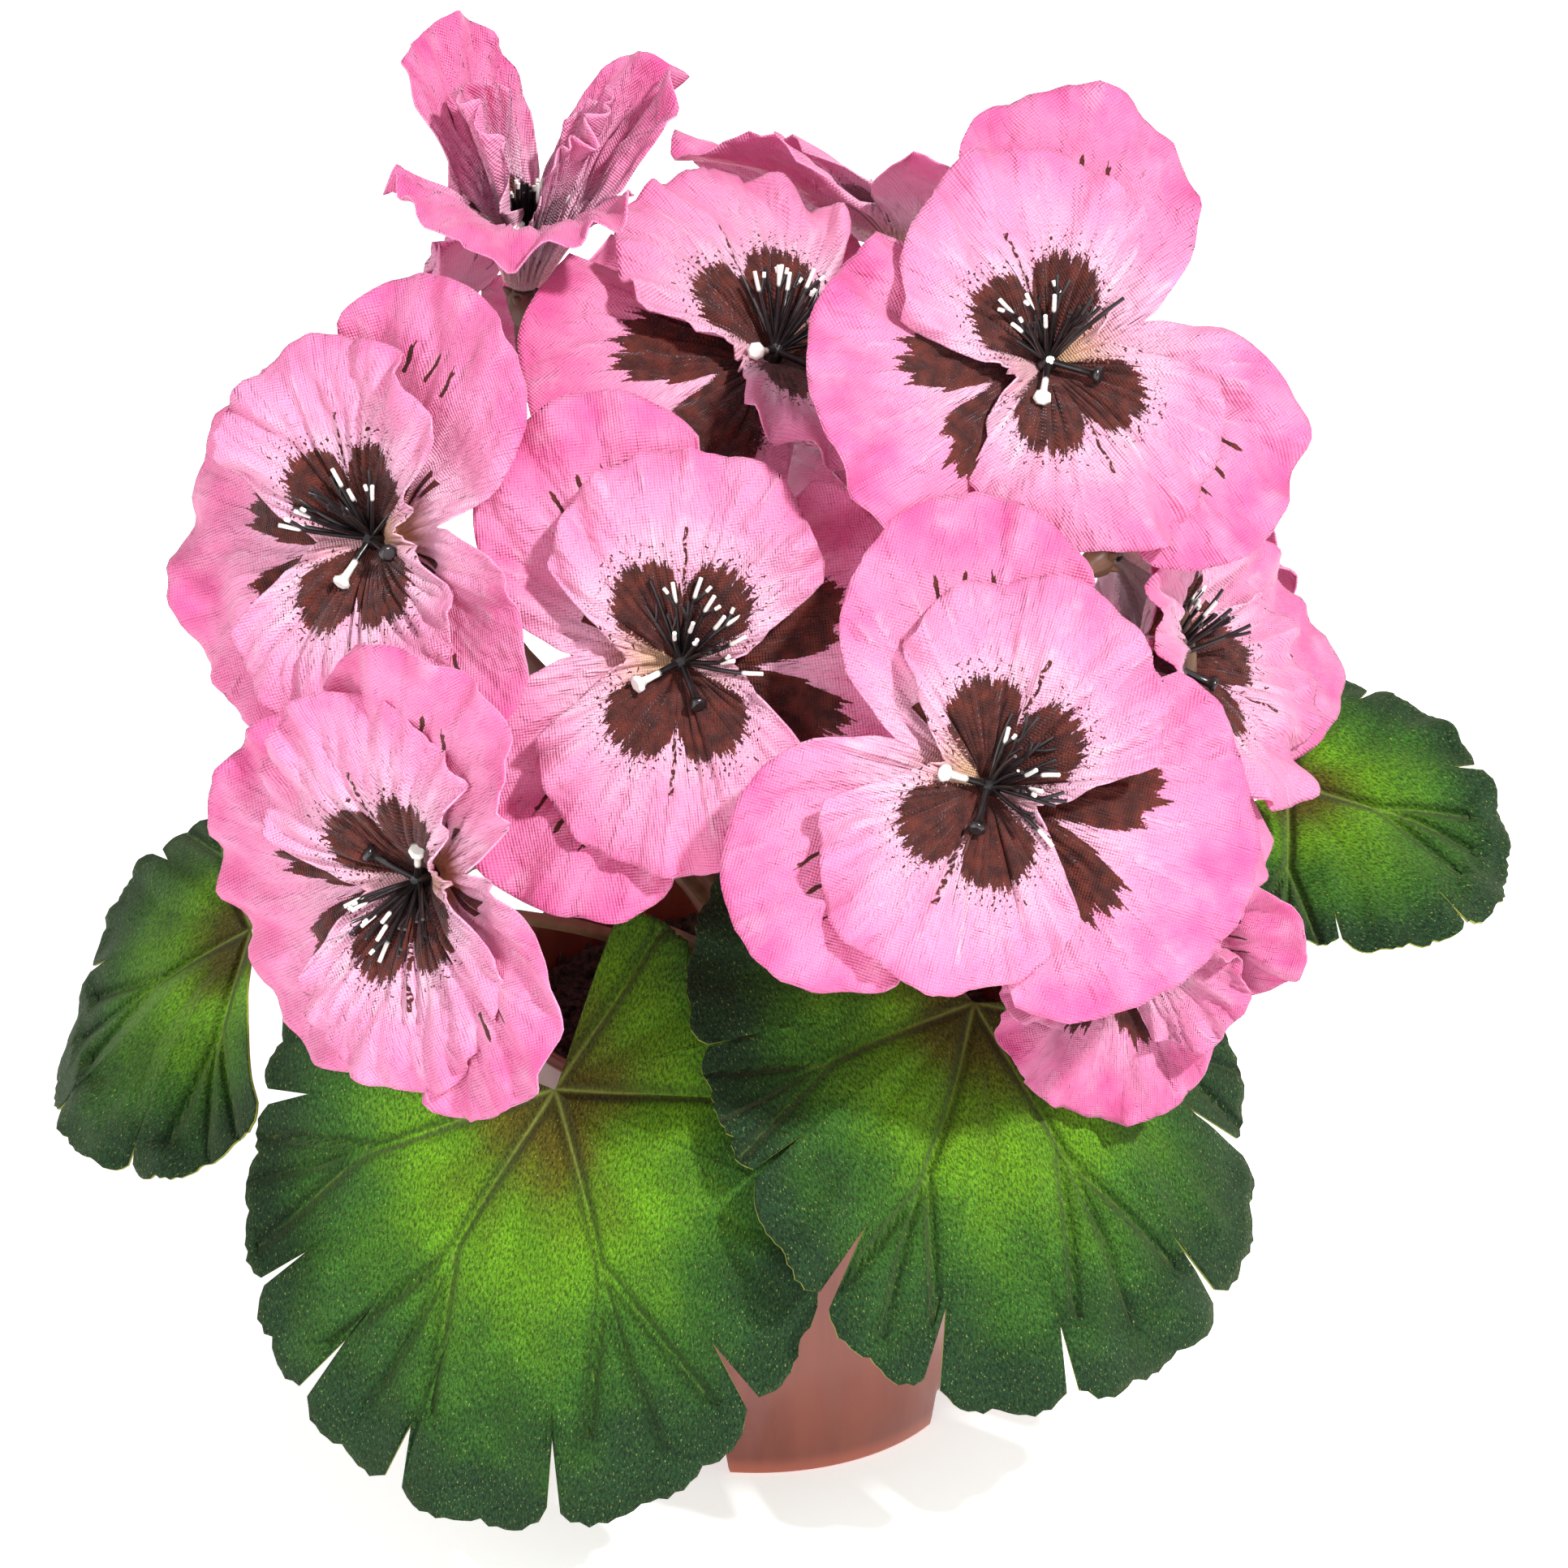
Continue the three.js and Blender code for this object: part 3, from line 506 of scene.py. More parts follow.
def petal_sheet(index, sheet, lifts, rolls, step, rings):
    """Both faces of one sheet: points, faces, and each face corner's place in the cloth and the print."""
    seed = index * 3 + sheet["height"]
    columns = []
    for lobe, (start, end, *_) in enumerate(sheet["lobes"]):
        count = round((end - start) / step)
        columns += [(lobe, start + (end - start) * k / count) for k in range(count)]
    shares = np.linspace(0, 1, rings + 1)[1:] ** 0.92
    grid, cloth = [], []
    for lobe, angle in columns:
        around = angle / 360
        edge = float(sheet_edge(sheet, lobe, np.array(angle)))
        edge *= 1 + 0.03 * ripple(around * 3, seed + 1) + 0.006 * ripple(around * 11, seed + 2, 5)
        cloth.append(shares * edge)
        grid.append(sheet_points(index, sheet, lifts, rolls, lobe, np.full(rings, angle), cloth[-1]))
    grid, cloth = np.array(grid), np.array(cloth)
    angles = np.array([a for _, a in columns])[:, None]
    turn = np.radians(angles)
    pleats = ripple(angles / 360 * 9, seed + 3, 7)
    pleats = pleats * smoothstep(3, 9, cloth) * (1 - 0.8 * smoothstep(16, 34, cloth))
    bent = angles + 5 * np.sin(cloth / 5 + seed)
    margin = (shares[None, :] ** 4) * ripple(bent / 360 * 4, seed + 4, 6)
    frill = (shares[None, :] ** 9) * ripple(angles / 360 * 13, seed + 7, 4)
    crumple = ripple(cloth * np.cos(turn) / 46, seed + 5, 3) * ripple(cloth * np.sin(turn) / 46, seed + 6, 3)
    crumple = crumple * smoothstep(6, 18, cloth)
    rays = np.abs(ripple(bent / 360 * 6, seed + 8, 5)) ** 0.7 * smoothstep(8, 20, cloth)
    relief = 0.65 * pleats + 2.3 * margin + 0.45 * frill + 2.0 * crumple - 1.0 * rays
    grid = grid + grid_normals(grid) * relief[..., None]
    normals = grid_normals(grid)
    count = len(columns)
    points = []
    for side in (0.5, -0.5):
        points.append(np.array([[0, 0, sheet["height"] + side * CLOTH_THICKNESS]]))
        points.append((grid + normals * side * CLOTH_THICKNESS).reshape(-1, 3))
    under = 1 + count * rings
    faces, corners, kinds, sides = [], [], [], []

    def add(column, side, face, *places):
        """A face, its side (0 upper, 1 under, 2 cut edge) and the column and ring of each corner."""
        faces.append(face)
        corners.append((columns[column][0], places))
        kinds.append(sheet["kinds"][columns[column][0]])
        sides.append(side)

    for c in range(count):
        d = (c + 1) % count
        a, b = 1 + c * rings, 1 + d * rings
        add(c, 0, (0, a, b), (c, -1), (c, 0), (c + 1, 0))
        add(c, 1, (under, under + b, under + a), (c, -1), (c + 1, 0), (c, 0))
        for r in range(rings - 1):
            add(c, 0, (a + r, a + r + 1, b + r + 1, b + r), (c, r), (c, r + 1), (c + 1, r + 1), (c + 1, r))
            add(c, 1, (under + a + r, under + b + r, under + b + r + 1, under + a + r + 1),
                (c, r), (c + 1, r), (c + 1, r + 1), (c, r + 1))
        last = rings - 1
        add(c, 2, (a + last, under + a + last, under + b + last, b + last),
            (c, last), (c, last), (c + 1, last), (c + 1, last))
    prints, clothes = [], []
    for lobe, places in corners:
        _, end, axis, *_ = sheet["lobes"][lobe]
        for column, ring in places:
            angle = end if column == count or columns[column][0] != lobe else columns[column][1]
            s = 0.0 if ring < 0 else cloth[column % count][ring]
            way = math.radians(angle)
            prints.append(((angle - axis) / PRINT_ANGLE, s / CLOTH_UNIT))
            clothes.append((s * math.cos(way) / CLOTH_UNIT, s * math.sin(way) / CLOTH_UNIT))
    return np.concatenate(points), faces, prints, clothes, kinds, sides


def bloom_petals(index, bloom):
    """Both sheets of a bloom as one mesh, with the cloth's and the print's coordinates."""
    fine = index < BLOOMS_IN_FRONT
    step, rings = (FINE_STEP, FINE_RINGS) if fine else (COARSE_STEP, COARSE_RINGS)
    lifts, rolls = np.array(bloom["lift"], float), np.array(bloom.get("roll", ROLL), float)
    axes = bloom_frame(bloom)
    points, faces, prints, clothes, kinds, sides = [], [], [], [], [], []
    for sheet, part in ((BACK_SHEET, slice(0, 3)), (FRONT_SHEET, slice(3, 5))):
        made = petal_sheet(index, sheet, lifts[part], rolls[part], step, rings)
        base = sum(len(p) for p in points)
        points.append(made[0] @ axes.T + bloom["at"])
        faces += [tuple(base + k for k in face) for face in made[1]]
        for gathered, more in zip((prints, clothes, kinds, sides), made[2:]):
            gathered += more
    piece = mesh_piece(f"bloom_{bloom['name']}", np.concatenate(points), faces)
    for name, values in (("cloth", clothes), ("print", prints)):
        uvs = np.array(values, np.float32).ravel()
        piece.data.uv_layers.new(name=name).data.foreach_set("uv", uvs)
    mark(piece.data, "FACE", kind=kinds, side=sides)
    return piece


def petal_finish():
    """Pink cloth with a brown print: a two-lobed blotch on the side petals, a wide fan on the lip and a few
    short stripes on the crown petals. It is cream in the throat and stronger pink at the margins."""
    f = Finish("printed_petal_cloth", Specular_IOR_Level=0.5, Sheen_Weight=0.25, Sheen_Roughness=0.4,
               Sheen_Tint=(1, 0.86, 0.95, 1))
    cloth, printed = f.uv("cloth"), f.split(f.uv("print"))
    theta, s = f.times(printed[0], PRINT_ANGLE), f.times(printed[1], CLOTH_UNIT)
    off = f.math("ABSOLUTE", theta)
    kind, side = f.value("kind"), f.value("side")
    is_side, is_crown = f.under(kind, 0.5), f.over(kind, 1.5)
    is_lip = f.minus(f.minus(1.0, is_side), is_crown)
    teeth = f.minus(f.noise(f.vector(f.times(theta, 0.30), f.times(s, 0.06), kind), 1.0, 3, 0.65), 0.5)
    ragged = f.minus(f.noise(cloth, 130, 3, 0.6), 0.5)

    def blotch(lobe, reach, width, cleft, edge, tooth):
        """1 inside a two-lobed fan: lobe is its lobes' angle, reach their length, edge its half angle."""
        away = f.math("DIVIDE", f.minus(off, lobe), width)
        limit = f.times(f.minus(1.0, f.times(f.math("POWER", away, 2.0), 0.5)), reach)
        limit = f.minus(limit, f.ramp(off, 0.0, 9.0, cleft, 0.0))
        limit = f.plus(f.plus(limit, f.times(teeth, tooth)), f.times(ragged, 3.0))
        inside = f.ramp(f.minus(limit, s), -0.15, 0.15)
        bound = f.plus(edge, f.times(ragged, 30.0))
        return f.times(inside, f.ramp(f.minus(bound, off), -1.0, 1.0)), limit

    side_blotch, side_limit = blotch(28.0, 18.0, 46.0, 3.8, 66.0, 9.0)
    lip_blotch, _ = blotch(24.0, 26.5, 34.0, 8.0, 50.0, 16.0)
    wobble = f.times(f.minus(f.noise(cloth, 16, 2), 0.5), 1.5)
    aside = f.math("ABSOLUTE", f.plus(f.times(s, f.math("RADIANS", theta)), wobble))
    broken = f.ramp(f.noise(cloth, 60, 2), 0.42, 0.5)
    antenna = f.times(f.times(f.times(f.under(aside, 0.38), f.under(s, 22.5)), broken), f.over(s, 9.0))
    dots = f.ramp(f.noise(cloth, 75, 1), 0.62, 0.65)
    beyond = f.times(f.over(s, side_limit), f.under(s, f.plus(side_limit, 3.2)))
    flank = f.times(f.under(f.math("ABSOLUTE", f.minus(off, 75.0)), 6.0),
                    f.times(f.under(s, 16.0), f.over(s, 6.0)))
    speckle = f.times(dots, f.most(f.times(f.under(off, 72.0), beyond), flank))
    side_print = f.most(f.most(side_blotch, antenna), speckle)
    lanes = f.math("MINIMUM", f.math("ABSOLUTE", f.minus(aside, 4.6)), aside)
    far = f.plus(33.0, f.times(teeth, 9.0))
    stripe = f.times(f.under(lanes, 0.36), f.times(f.under(s, far), f.over(s, 28.0)))
    streak = f.ramp(f.noise(f.vector(f.times(theta, 0.16), f.times(s, 0.03), 7.0), 1.0, 2), 0.56, 0.6)
    streak = f.times(f.times(streak, f.under(s, 17.0)), f.over(s, 5.0))
    ink = f.most(f.times(side_print, is_side), f.times(lip_blotch, is_lip))
    ink = f.most(ink, f.times(f.most(stripe, streak), is_crown))
    reach, patch = f.ramp(s, 6.0, 42.0), f.minus(f.noise(cloth, 5.5, 2), 0.5)
    pink = f.mix(f.ramp(f.plus(reach, f.times(patch, 0.8)), 0.05, 0.7), linear("#fdc3dd"), linear("#fb9cc9"))
    pink = f.mix(f.ramp(f.plus(reach, f.times(patch, 0.9)), 0.65, 1.2), pink, linear("#f365aa"))
    drift = f.times(f.noise(cloth, 14, 1), 1.5)
    pleats = f.noise(f.vector(f.times(theta, 0.23), f.times(s, 0.035), drift), 1.0, 2)
    pleats = f.times(pleats, f.ramp(s, 5.0, 14.0))
    # Painted highlight: pale pink streaks on the raised pleats stand in for the satin's highlights.
    painted_satin_highlight = f.times(f.ramp(pleats, 0.5, 0.72), f.ramp(f.noise(cloth, 9, 2), 0.4, 0.65))
    pink = f.mix(f.times(painted_satin_highlight, f.ramp(s, 26.0, 34.0, 0.5, 0.15)), pink, linear("#ffe9f2"))
    upward = f.math("DIVIDE", f.times(f.split(cloth)[1], CLOTH_UNIT), f.plus(s, 0.5))
    throat = f.times(f.ramp(s, 3.0, 15.0, 1.0, 0.0), f.ramp(upward, -0.4, 0.9, 0.35, 1.0))
    pink = f.mix(f.times(throat, 0.85), pink, linear("#f0c48c"))
    strength = f.minus(1.0, f.times(f.over(side, 0.5), 0.45))
    brown = f.mix(f.ramp(f.noise(cloth, 18, 3), 0.3, 0.7), linear("#43150e"), linear("#6d2a1c"))
    tone = f.mix(f.times(ink, strength), pink, brown)
    threads = f.split(f.turned(cloth, Rotation=(0, 0, 0.6)))
    wave = [f.math("SINE", f.times(threads[k], CLOTH_UNIT * 2 * math.pi / THREAD_REPEAT)) for k in (0, 1)]
    weave = f.times(*wave)
    # The weave also lightens and darkens the colour: painted light on the threads and painted shade between
    # them.
    tone = f.shade(tone, f.ramp(weave, -0.9, 0.9, 0.86, 1.1))
    tone = f.mix(f.times(f.over(side, 1.5), 0.35), tone, linear("#fbc4de"))
    normal = f.bump(pleats, 0.002, 0.6, f.bump(f.noise(cloth, 14, 2), 0.002, 0.5))
    normal = f.bump(weave, 0.0001, 0.9, normal)
    f.wear(Base_Color=tone, Roughness=f.ramp(ink, 0, 1, 0.42, 0.75), Normal=normal)
    f.let_light_through(0.28, tone)
    return f.material


petal_cloth = petal_finish()
for index, bloom in enumerate(BLOOMS):
    petals = bloom_petals(index, bloom)
    petals.data.materials.append(petal_cloth)
    finish(petals, "petal_cloth", f"petals_{bloom['name']}")


# The stamens are a spray of thin black soft-plastic threads on a small hub, forked at the tips, and some are
# dipped in white. A white peg and a black peg with flat heads stand out on the other side.
THREAD_COUNT, SPRAY_ANGLE, PEG_LENGTH = 17, 124, 8.4


def rod_tree():
    """A round or ribbed rod along each edge path, as thick as the points' thickness."""
    made, given = recipe("moulded_rods", Sides="Int", Ribs="Float", Depth="Float", Material="Material")
    curve = made.node("GeometryNodeMeshToCurve", {0: given["Geometry"]}).outputs[0]
    thickness = made.node("GeometryNodeInputNamedAttribute", {0: "thickness"}, data_type="FLOAT").outputs[0]
    path = made.node("GeometryNodeSetCurveRadius", {"Curve": curve, "Radius": thickness}).outputs[0]
    ring = made.node("GeometryNodeCurvePrimitiveCircle", {"Resolution": given["Sides"], "Radius": 1.0})
    place = made.node("GeometryNodeInputPosition").outputs[0]
    spot = made.split(place)
    wave = made.math("COSINE", made.times(made.math("ARCTAN2", spot[1], spot[0]), given["Ribs"]))
    ribbed = made.shade(place, made.plus(made.times(wave, given["Depth"]), 1.0))
    outline = made.node("GeometryNodeSetPosition", {"Geometry": ring.outputs[0], "Position": ribbed})
    body = made.node("GeometryNodeCurveToMesh", {
        "Curve": path, "Profile Curve": outline.outputs[0], "Fill Caps": True})
    if "Scale" in body.inputs:
        made.put(body.inputs["Scale"], thickness)
    smooth = made.node("GeometryNodeSetShadeSmooth", {0: body.outputs[0]}).outputs[0]
    return ended(made, smooth, given["Material"])


def rods(name, paths, tree, sides, ribs, depth, material, extras=()):
    """A plain mesh of rods. A path has points with a thickness each, and extras names its other values."""
    points, edges = [], []
    values = {key: [] for key in ("thickness", *extras)}
    for path in paths:
        base = len(points)
        points += [tuple((np.array(p) + MIDDLE) / 1000) for p in path["points"]]
        edges += [(base + k, base + k + 1) for k in range(len(path["points"]) - 1)]
        for key, gathered in values.items():
            gathered += list(path[key])
    values["thickness"] = np.array(values["thickness"]) / 1000
    mesh = bpy.data.meshes.new(name)
    mesh.from_pydata(points, edges, [])
    mark(mesh, "POINT", **values)
    piece = placed(name, mesh)
    made = grown(piece, tree, Sides=sides, Ribs=float(ribs), Depth=float(depth), Material=material)
    bpy.data.objects.remove(piece)
    return made


def direction(turn, rise):
    """A line one unit long: turn goes round from the right, and rise goes up."""
    return np.array([math.cos(turn) * math.cos(rise), math.sin(turn) * math.cos(rise), math.sin(rise)])


def stamen_paths(index, bloom):
    """The threads, their side tips and the two pegs, in the bloom's own frame."""
    lean = bloom["spray"] - bloom["crown"] + 90
    steep = bloom.get("steep", 0)
    paths = []

    def thread(start, way, length, foot, tip, dip, bow):
        shares = np.linspace(0, 1, 7)
        side = np.cross(way, (0, 0, 1.0))
        side /= max(np.linalg.norm(side), 1e-6)
        line = [start + way * length * t + side * bow * math.sin(2.2 * t) + np.array([0, 0, -0.8]) * t * t
                for t in shares]
        paths.append(dict(points=line, thickness=foot + (tip - foot) * shares,
                          dipped=np.where(shares > 0.8, float(dip), 0.0)))
        return line

    for k in range(THREAD_COUNT):
        spread = SPRAY_ANGLE * (k / (THREAD_COUNT - 1) - 0.5)
        turn = math.radians(lean + spread + 10 * (chance(index, k + 60) - 0.5))
        rise = math.radians(min(24 + 44 * ((k * 7) % 5) / 4 + steep, 88) + 6 * chance(index, k + 20))
        length = 11.5 + 3.0 * chance(index, k + 40)
        start = direction(turn, 0) * 0.75 + [0, 0, HUB_TOP + 0.5]
        dip = chance(index, k + 80) < 0.42
        way = direction(turn, rise)
        line = thread(start, way, length, 0.42, 0.3 + 0.04 * dip, dip, 1.8 * (chance(index, k + 100) - 0.5))
        fork = direction(turn + (0.5 if k % 2 else -0.5), rise + 0.15)
        if k % 3:
            thread(line[4], fork, length * 0.34, 0.32, 0.26 + 0.06 * dip, dip, 0.2)
    for side, dip in ((150, 1), (235, 0)):
        turn, rise = math.radians(lean + side), math.radians(34 + steep)
        start = direction(turn, 0) * 0.6 + [0, 0, HUB_TOP + 0.6]
        shares = np.array([0, 0.3, 0.6, 0.78, 0.86, 0.9, 0.97, 1.0])
        line = [start + direction(turn, rise) * PEG_LENGTH * t for t in shares]
        paths.append(dict(points=line, thickness=[0.6, 0.55, 0.55, 0.65, 0.95, 1.4, 1.45, 0.95],
                          dipped=np.where(shares > 0.5, float(dip), 0.0)))
    return paths


def hub_paths():
    """The small black boss that holds the sheets and carries the threads."""
    heights = [HUB_FOOT, -0.9, 2.0, HUB_TOP, HUB_TOP + 0.7, HUB_TOP + 1.2]
    return [dict(points=[(0, 0, z) for z in heights], thickness=[1.6, 2.1, 1.7, 1.6, 1.35, 0.7],
                 dipped=[0.0] * len(heights))]


black = Finish("black_thread_plastic", Roughness=0.28, Coat_Weight=0.3, Coat_Roughness=0.15)
smut = black.noise(black.place(), 700, 2)
dark = black.mix(smut, linear("#0d0b0b"), linear("#2b2426"))
white = black.mix(smut, linear("#e8e4dc"), linear("#fbf9f4"))
dipped = black.ramp(black.value("dipped"), 0.35, 0.65)
black.wear(Base_Color=black.mix(dipped, dark, white), Normal=black.bump(smut, 0.0002, 0.4))
rods_tree = rod_tree()
for index, bloom in enumerate(BLOOMS):
    axes = bloom_frame(bloom)
    threads = []
    for path in stamen_paths(index, bloom) + hub_paths():
        threads.append(dict(path, points=[axes @ np.array(p) + bloom["at"] for p in path["points"]]))
    name = f"stamens_of_{bloom['name']}"
    spray = join(name, [rods(name, threads, rods_tree, 7, 0, 0, black.material, ("dipped",))])
    finish(spray, "stamen_plastic", f"stamens_{bloom['name']}")


# The stems are one bush of brown plastic, moulded in two halves: a ribbed trunk that stands in the soil, a
# branch to each bloom, and under each bloom a flared calyx with five pointed sepals.
TRUNK_FOOT, TRUNK_CROWN, CALYX_LENGTH, CALYX_GAP, SEPAL_COUNT = 24.0, 75.0, 6.0, 0.35, 5


def bezier(a, b, c, d, count):
    t = np.linspace(0, 1, count)[:, None]
    return (1 - t) ** 3 * a + 3 * (1 - t) ** 2 * t * b + 3 * (1 - t) * t * t * c + t ** 3 * d


def branch_line(bloom):
    """From the trunk's top, bent over into the back of the bloom's calyx."""
    facing = bloom_frame(bloom)[:, 2]
    end = np.array(bloom["at"], float) + facing * (HUB_FOOT - CALYX_GAP - CALYX_LENGTH + 1)
    start = np.array([*STEM_PLACE, TRUNK_CROWN - 2])
    first = start + (end - start) * [bloom.get("spread", 0.18)] * 3
    first[2] = start[2] + (end[2] - start[2]) * 0.5
    return bezier(start, first, end - facing * bloom.get("neck", 18), end, 26)


def branch_paths():
    """The branches, each with its calyx and sepals, and the trunk."""
    paths = []
    for index, bloom in enumerate(BLOOMS):
        line = branch_line(bloom)
        shares = np.linspace(0, 1, len(line))
        swell = 0.5 * np.exp(-((shares - 0.35 - 0.2 * chance(index, 5)) / 0.025) ** 2)
        paths.append(dict(points=line, thickness=1.5 - 0.35 * shares + swell))
        axes = bloom_frame(bloom)
        facing = axes[:, 2]
        base = np.array(bloom["at"]) + facing * (HUB_FOOT - CALYX_GAP - CALYX_LENGTH)
        paths.append(dict(points=[base + facing * h for h in (0, 0.8, 2.2, 3.8, 5.0, 5.9)],
                          thickness=[1.3, 1.6, 2.2, 2.6, 2.4, 1.7]))
        for k in range(SEPAL_COUNT):
            out = axes @ direction(2 * math.pi * (k + 0.5) / SEPAL_COUNT, math.radians(38))
            line = [base + facing * 3.4 + out * length for length in (1.2, 2.4, 3.4, 4.2)]
            paths.append(dict(points=line, thickness=[0.9, 0.85, 0.55, 0.15]))
    paths.append(dict(points=[(*STEM_PLACE, z) for z in (TRUNK_FOOT, 40, 56, 63, 66, 69, 72, 75, 77)],
                      thickness=[3.1, 3.2, 3.3, 3.4, 3.6, 3.9, 4.1, 3.6, 2.4]))
    return paths


bark = Finish("brown_stem_plastic", Roughness=0.5)
grime = bark.noise(bark.place(), 180, 3)
tone = bark.mix(bark.ramp(grime, 0.3, 0.7), linear("#6b4c36"), linear("#957054"))
tone = bark.mix(bark.ramp(bark.split(bark.place())[2], 0.09, 0.15, 0, 0.85), tone, linear("#4e3022"))
tone = bark.mix(bark.ramp(bark.noise(bark.place(), 60, 2), 0.6, 0.75, 0, 0.6), tone, linear("#5c6a2a"))
bark.wear(Base_Color=tone, Normal=bark.bump(grime, 0.0005, 0.5))
stems = join("stems_bush", [rods("stems_bush", branch_paths(), rods_tree, 20, 7, 0.07, bark.material)])
finish(stems, "stem_plastic", "stems")


# The leaves are round and lobed, cut from short-napped green cloth with slits and small scallops in the
# margin. Heat pressing raises the cloth between the veins. Each hangs on a green plastic stalk.
# LEAF_UNIT is one whole of the cloth's map.
LEAF_REACH, LEAF_NARROWING, LEAF_THICKNESS, LEAF_RINGS, LEAF_UNIT = 62.0, 0.32, 0.45, 30, 60
SLIT_SHARE, REAR_SLIT_SHARE, VEIN_END, VEIN_FORK = 0.78, 0.6, 0.86, 0.42
STALK_RADIUS, STALK_FOOT, STALK_BEND_FROM, STALK_ALONG, STALK_BELOW, STALK_LEAD = 1.15, 44.0, 66.5, 7, 1.4, 14
LEAVES = [
    dict(name="front_left", at=(-31, -46, 77), heading=-22, droop=56, roll=-6, size=1.11, bend=14, wave=1.5,
         slits=(-172, -146, -118, -78, -44, -11, 12, 30, 47, 78, 100), short=-118),
    dict(name="front_right", at=(34, -38, 88), heading=28, droop=42, roll=-3, size=1.05, bend=22, wave=2.5,
         slits=(-80, -54, -26, 3, 24, 45, 69, 97, 140), arch=0.004),
    dict(name="left", at=(-80, -6, 84), heading=-72, droop=42, roll=-10, size=0.73, bend=16, wave=2.5,
         slits=(-62, -20, 6, 45, 80, 118)),
    dict(name="right", at=(84, 0, 107), heading=76, droop=16, roll=20, size=0.62, bend=20, wave=2,
         slits=(-120, -75, -36, 18, 55, 90, 120)),
    dict(name="back_right", at=(50, 34, 92), heading=128, droop=16, roll=0, size=0.8, bend=26, wave=2.5,
         slits=(-130, -90, -55, -20, 15, 50, 85, 130)),
    dict(name="back_left", at=(-36, 38, 88), heading=-138, droop=36, roll=0, size=0.9, bend=24, wave=2.5,
         slits=(-130, -90, -60, -28, 6, 40, 75, 130)),
    dict(name="back_middle", at=(12, 46, 84), heading=176, droop=46, roll=0, size=0.9, bend=24, wave=2.5,
         slits=(-130, -90, -56, -20, 12, 48, 80, 112)),
]


def leaf_axes(leaf):
    """The leaf's own axes as columns: across, to its tip, and its upper face."""
    heading, droop, roll = np.radians([leaf["heading"], leaf["droop"], leaf["roll"]])
    out = np.array([math.sin(heading), -math.cos(heading), 0])
    y = out * math.cos(droop) - np.array([0, 0, math.sin(droop)])
    z = out * math.sin(droop) + np.array([0, 0, math.cos(droop)])
    z = z * math.cos(roll) + np.cross(y, z) * math.sin(roll)
    return np.column_stack([np.cross(y, z), y, z])


def leaf_surface(index, leaf, angle, s):
    """The leaf's middle surface, as in the solid model: bent along its midrib, arched across and waved."""
    reach = LEAF_REACH * leaf["size"]
    turn = np.radians(angle)
    bend = math.radians(leaf["bend"]) / reach
    along, x = s * np.cos(turn), s * np.sin(turn)
    arch = -(1 - np.cos(bend * along)) / bend - leaf.get("arch", 0.0022) * x * x
    wave = leaf["wave"] * (s / reach) ** 2 * np.sin(4.6 * turn + 2 * math.pi * chance(index, 3))
    return np.stack([x, np.sin(bend * along) / bend, arch + wave], -1)


def leaf_round(angle):
    """The share of the leaf's reach that is left at an angle from its tip."""
    return 1 - 0.5 * LEAF_NARROWING * (1 - np.cos(np.radians(1.9 * np.minimum(95, np.abs(angle)))))


def leaf_margin(index, leaf, angle):
    """The cut edge: rounded lobes between the slits, each with small scallops and teeth."""
    stops = leaf["slits"]
    k = int(np.clip(np.searchsorted(stops, angle, side="right") - 1, 0, len(stops) - 2))
    start, end = stops[k], stops[k + 1]
    t = (angle - start) / (end - start)
    corner = min(t, 1 - t) * (end - start)
    lobe = 1 - 0.045 * max(0.0, 1 - corner / 6) ** 2
    scallops = max(1, round((end - start) / 10))
    slid = t + 0.05 * math.sin(2 * math.pi * t + k)
    scallop = 0.022 * (abs(math.sin(math.pi * scallops * slid)) ** 0.5 - 0.75)
    teeth = 0.005 * math.sin(angle * 5.1 + index) * math.sin(angle * 2.3)
    inner = 1 - 0.34 * float(smoothstep(0, 14, leaf.get("short", -180) - angle))
    return LEAF_REACH * leaf["size"] * float(leaf_round(angle)) * (lobe + scallop + teeth) * inner


def leaf_columns(index, leaf):
    """Angle and edge of each column: even ones, with three close together at each slit."""
    stops = leaf["slits"]
    columns = []
    for k, (start, end) in enumerate(zip(stops, stops[1:])):
        count = max(4, round((end - start) / 1.3))
        low = start + (0.5 + 1.1 * chance(index, k + 90) if k else 0.0)
        high = end - (0.5 + 1.1 * chance(index, k + 91) if k < len(stops) - 2 else 0.0)
        columns += [(a, leaf_margin(index, leaf, a)) for a in np.linspace(low, high, count + 1)]
        if k < len(stops) - 2:
            share = SLIT_SHARE if end > leaf.get("short", -180) else REAR_SLIT_SHARE
            share += 0.1 * (chance(index, k + 11) - 0.5)
            columns.append((end, share * LEAF_REACH * leaf["size"] * float(leaf_round(end))))
    return columns


def vein_distance(index, leaf, x, y):
    """How far a point of the flat leaf lies from the nearest vein, which runs to a lobe and forks once."""
    reach, stops = LEAF_REACH * leaf["size"], leaf["slits"]
    end = reach * VEIN_END
    nearest = np.full(x.shape, 99.0)
    for k, (start, stop) in enumerate(zip(stops, stops[1:])):
        turn = math.radians((start + stop) / 2)
        along = x * math.sin(turn) + y * math.cos(turn)
        aside = x * math.cos(turn) - y * math.sin(turn)
        weak = 1.6 if k % 2 else 0.0
        bowed = aside - 0.02 * along * np.sin(along / 9 + k)
        main = np.where((along > 0) & (along < end), np.abs(bowed), 99.0)
        nearest = np.minimum(nearest, main + 0.012 * np.maximum(along, 0) + weak)
        after = along - reach * (0.38 + 0.12 * chance(index, k + 70))
        for side in (-1, 1):
            branch = np.abs(aside - side * VEIN_FORK * after) * 0.92 + 0.25 + weak
            nearest = np.minimum(nearest, np.where((after > 0) & (along < end * 0.92), branch, 99.0))
    return nearest


